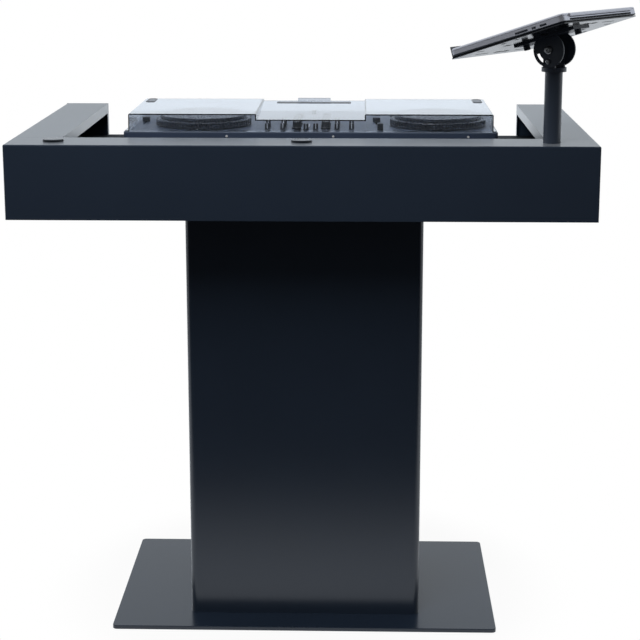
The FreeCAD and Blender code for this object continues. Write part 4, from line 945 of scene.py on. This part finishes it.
# %% Tray bolts
bolt_profile = [(5.4, -9), (6.1, -8.7), (6.5, -8), (6.5, -7.4), (6.5, -1.6), (6.5, -1), (6.1, 0), (4, 0),
                (4, 6)]
tray_bolt = turned(bolt_profile, 96, fluted(24, -7.5, -1.5, 0.5))
bolt_rise, bolt_spread = 0.023, 0.058
sheets = [put(tray_bolt, pivot + along * toward_lip + bolt_rise * upward, head_axes)
          for along in (-bolt_spread, bolt_spread)]
stand_in("tray_bolts_turned", sheets, "head", "tray_bolts")
print("tray bolts:", len(sheets))

# %% [markdown]
# ## Laptop keys
#
# With the lid open one sees five rows of low moulded keys, a long bar in the last row, and a touch pad.
# An array modifier could repeat one key, but the bar breaks the rows, so a list names each key by its
# row, its first column and its width in columns.

# %% Keys
laptop_wide, laptop_deep, laptop_back = 290, 251, -112.9
key_columns, key_rows, key_gap, key_margin = 14, 5, 3, 16
field_wide, field_deep = 268, 104
key_wide, key_deep = field_wide / key_columns, field_deep / key_rows
key_foot, key_top, touch_pad_from_back = 40.5, 41.5, 201
bar_row, bar_first, bar_columns = key_rows - 1, 4, 6
keys = [(row, first, 1) for row in range(bar_row) for first in range(key_columns)]
keys += [(bar_row, first, 1) for first in (0, 1, 2, 3, 10, 11, 12, 13)] + [(bar_row, bar_first, bar_columns)]
sheets = []
for row, first, count in keys:
    half_x, half_y = (count * key_wide - key_gap) / 2, (key_deep - key_gap) / 2
    key_cap = moulded(half_x, half_y, key_foot, key_top, radius=1.6, edge=0.35)
    middle = (-field_wide / 2 + (first + count / 2) * key_wide,
              laptop_back + key_margin + (row + 0.5) * key_deep, 0)
    sheets.append(put(key_cap + middle, pivot, head_axes))
touch_pad = moulded(61.8, 37.8, key_foot, key_top, radius=3, edge=0.2)
sheets.append(put(touch_pad + (0, laptop_back + touch_pad_from_back, 0), pivot, head_axes))
stand_in("laptop_keys_moulded", sheets, "laptop", "laptop_keys")
print("keys:", len(keys))

# %% [markdown]
# ## Laptop ports
#
# The picture shows three dark ports in the laptop's side. Dark paint would do from afar; here each
# pocket of the case gets a dark floor and a tongue. On one side the axes are swapped as well as turned,
# which keeps the faces outward.

# %% Ports
port_shares = ((0.17, 0.058), (0.25, 0.036), (0.36, 0.110))
port_level, port_depth, port_gap, port_half = 36.2, 2, 0.3, 1.7
tongue_share, tongue_half = 0.7, 0.5
sheets = []
for place_share, length_share in port_shares:
    along = laptop_back + place_share * laptop_deep
    half_long = length_share * laptop_deep / 2 - port_gap
    for side in (-1, 1):
        outward = side * (laptop_wide / 2 - port_depth) * across
        origin = pivot + (outward + along * toward_lip + port_level * upward) / 1000
        axes = [toward_lip, upward, across] if side > 0 else [upward, toward_lip, -across]
        floor_size = (half_long, port_half)[::side]
        tongue_size = (half_long * tongue_share, tongue_half)[::side]
        port_floor = moulded(*floor_size, foot=-0.1, top=0.5, radius=0.5, edge=0.2)
        tongue = moulded(*tongue_size, foot=0.3, top=1.5, radius=0.3, edge=0.2)
        sheets += [put(port_floor, origin, axes), put(tongue, origin, axes)]
build("laptop_ports", sheets, black_plastic, "laptop", "black_plastic")
print("port tongues:", len(sheets) // 2)

# %% [markdown]
# ## Laptop lid
#
# The lid is a metal plate with a softly domed edge and a shallow pocket for the screen. A bevel gives
# a round edge, but not one that is wider than it is high, so the rings follow a quarter ellipse.

# %% Lid
lid_foot, lid_top, lid_corner, lid_break = 42.1, 46.6, 9, 0.3
glass_border, glass_sink = 7, 0.8
dome_in, dome_up = 5.0, 3.5
half_wide, half_deep = laptop_wide / 2, laptop_deep / 2
sweep = np.linspace(0, np.pi / 2, 9)
dome_inset = dome_in * (1 - np.cos(sweep))
dome_level = lid_top - dome_up + dome_up * np.sin(sweep)
rows = [(half_wide - glass_border, half_deep - glass_border, least_corner, lid_foot + glass_sink),
        (half_wide - glass_border, half_deep - glass_border, least_corner, lid_foot),
        (half_wide - lid_break, half_deep - lid_break, lid_corner - lid_break, lid_foot),
        (half_wide, half_deep, lid_corner, lid_foot + lid_break)]
rows += [(half_wide - inset, half_deep - inset, lid_corner - inset, level)
         for inset, level in zip(dome_inset, dome_level)]
rings = ringed(rows) + (0, laptop_back + half_deep, 0)
stand_in("laptop_lid_domed", [put(rings, pivot, head_axes)], "lid", "laptop_lid")
print("lid rings:", len(rows))

# %% [markdown]
# ## Laptop base shell
# The lower part of the laptop's case turns away from the light and lies in shade, in a band that grows
# towards the front. A second material on the case could draw it, but the solids stay as they are, so a
# thin dark skin of four rings wraps the case there, with a sloping upper edge: painted shade, not a
# part of the laptop.

# %% Painted shade band
shade_band_foot, shade_band_back, shade_band_front, shade_band_break = 30.5, 32.3, 34.4, 0.6
proud, wall = 0.15, 1.0
rim = outline(half_wide + proud, half_deep + proud, radius=9, steps=12)
hem = outline(half_wide - wall, half_deep - wall, radius=8, steps=12)
slope = (shade_band_front - shade_band_back) / laptop_deep


def shade_band_ring(flat, level=None):
    """Points of a flat outline at one height, or at the sloping height of the shade band's upper edge."""
    sloping = shade_band_back + (flat[:, 1] + half_deep) * slope
    height = sloping if level is None else np.full(len(flat), level)
    return np.column_stack([flat[:, 0], flat[:, 1] + (laptop_back + half_deep), height])


rings = np.stack([shade_band_ring(hem, shade_band_foot), shade_band_ring(rim, shade_band_foot + shade_band_break), shade_band_ring(rim),
                  shade_band_ring(hem)])
# painted shade: a thin black sheet over the lower band of the case's sides, higher towards the front
build("laptop_painted_shade_band", [put(rings, pivot, head_axes)], black_plastic, "laptop", "black_plastic")
print("painted shade band:", rings.shape[1], "points round")

# %% [markdown]
# ## Rear vent
#
# At the back, warm air leaves through a long slot with fins. A striped bump would fade at a low angle,
# which is how the picture sees it, so the slot has a dark floor and real fins.

# %% Rear vent
vent_level, vent_depth, fin_count, fin_reach = 34.3, 2, 39, 114
vent_axes = [upward, across, -toward_lip]
vent_middle = pivot + ((laptop_back + vent_depth) * toward_lip + vent_level * upward) / 1000
fin = moulded(1.7, 0.7, foot=0.4, top=1.7, radius=0.4, edge=0.2)
vent_floor = moulded(1.75, 119.9, foot=-0.1, top=0.6, radius=0.4, edge=0.2)
sheets = [put(vent_floor, vent_middle, vent_axes)]
for along in np.linspace(-fin_reach, fin_reach, fin_count):
    sheets.append(put(fin + (0, along, 0), vent_middle, vent_axes))
build("laptop_vent", sheets, black_plastic, "laptop", "black_plastic")
print("vent fins:", len(sheets) - 1)

# %% [markdown]
# ## The cover's shade bar and tab
#
# A dark bar crosses the mixer's part of the cover: it is painted shade, for the line of shade under a step
# in the cover. A clear tab at the player's edge lifts the cover. The bar could be painted on by a material,
# but it stands a little proud, so both are low moulded blocks. The roof rises slightly towards the player,
# so they lie in axes tilted by that rise.

# %% Shade bar and tab
smoked_and_painted_shade = uneven("smoked_plastic_and_painted_shade", (0.020, 0.025, 0.034), 0.30, (1500, 2e-5, 0.04, 0.06))
cover_foot = box_of("dust_cover")[1][2]
roof_start, roof_long, roof_up, roof_low = -0.140, 0.291, 0.008, 0.0235
roof_rise = math.atan2(roof_up, roof_long)
roof_axes = [(1, 0, 0), (0, math.cos(roof_rise), math.sin(roof_rise)),
             (0, -math.sin(roof_rise), math.cos(roof_rise))]


def on_roof(y):
    """A point on the mixer's roof, which rises evenly from the audience's edge to the player's."""
    return controller_x, y, cover_foot + roof_low + (y - roof_start) / roof_long * roof_up


bar_y, tab_y = 0.119, 0.1445
# painted shade: a dark bar on the roof stands for the line of shade under a step in the cover
bar = moulded(81, 11, foot=-0.2, top=0.7, radius=2, edge=0.3)
build("cover_shade_bar", [put(bar, on_roof(bar_y), roof_axes)], smoked_and_painted_shade, "cover", "black_plastic")
tab = moulded(36, 1.6, foot=-0.4, top=6.5, radius=1.4, edge=1.2)
build("cover_tab", [put(tab, on_roof(tab_y), roof_axes)], clear_acrylic, "cover", "clear_cover")
print("roof rises by", round(math.degrees(roof_rise), 2), "degrees")

# %% [markdown]
# ## Finger frames and grips
#
# Near both corners on the player's side the cover has an oval frame round a grey grip, to hold it by. A
# frame could be an oval with a hole cut in it; rings that go up, across and down again, wrapped into one
# skin, give the same with no cutting.

# %% Finger frames and grips
grey = uneven("grey_grip", (0.16, 0.175, 0.20), 0.5, (1500, 3e-5, 0.05, 0.06))
frame_y, frame_spread, deck_roof = 0.113, 0.356, cover_foot + 0.035
frame_rings = ringed([(10, 33, 9, -0.2), (10, 33, 9, 0.7), (9.6, 32.6, 8.6, 1.0), (7.4, 30.4, 6.4, 1.0),
                      (7, 30, 6, 0.7), (7, 30, 6, -0.2)])
grip_pad = moulded(7.4, 30.4, foot=-0.2, top=0.4, radius=6.4, edge=0.2)
places = [(controller_x + shift, frame_y, deck_roof) for shift in (-frame_spread, frame_spread)]
build("cover_frames", [put(frame_rings, place, wrap=True) for place in places], smoked_and_painted_shade, "cover",
      "black_plastic")
build("cover_grips", [put(grip_pad, place) for place in places], grey, "cover", "rubber")
print("finger frames:", len(places))

# %% [markdown]
# ## Measure and finish
#
# The dressed booth must not outgrow its solids, so the box of all that is shown is printed.

# %% Measure and finish
low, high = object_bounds()
print("visual box:", [round(value, 4) for value in (*low, *high)])
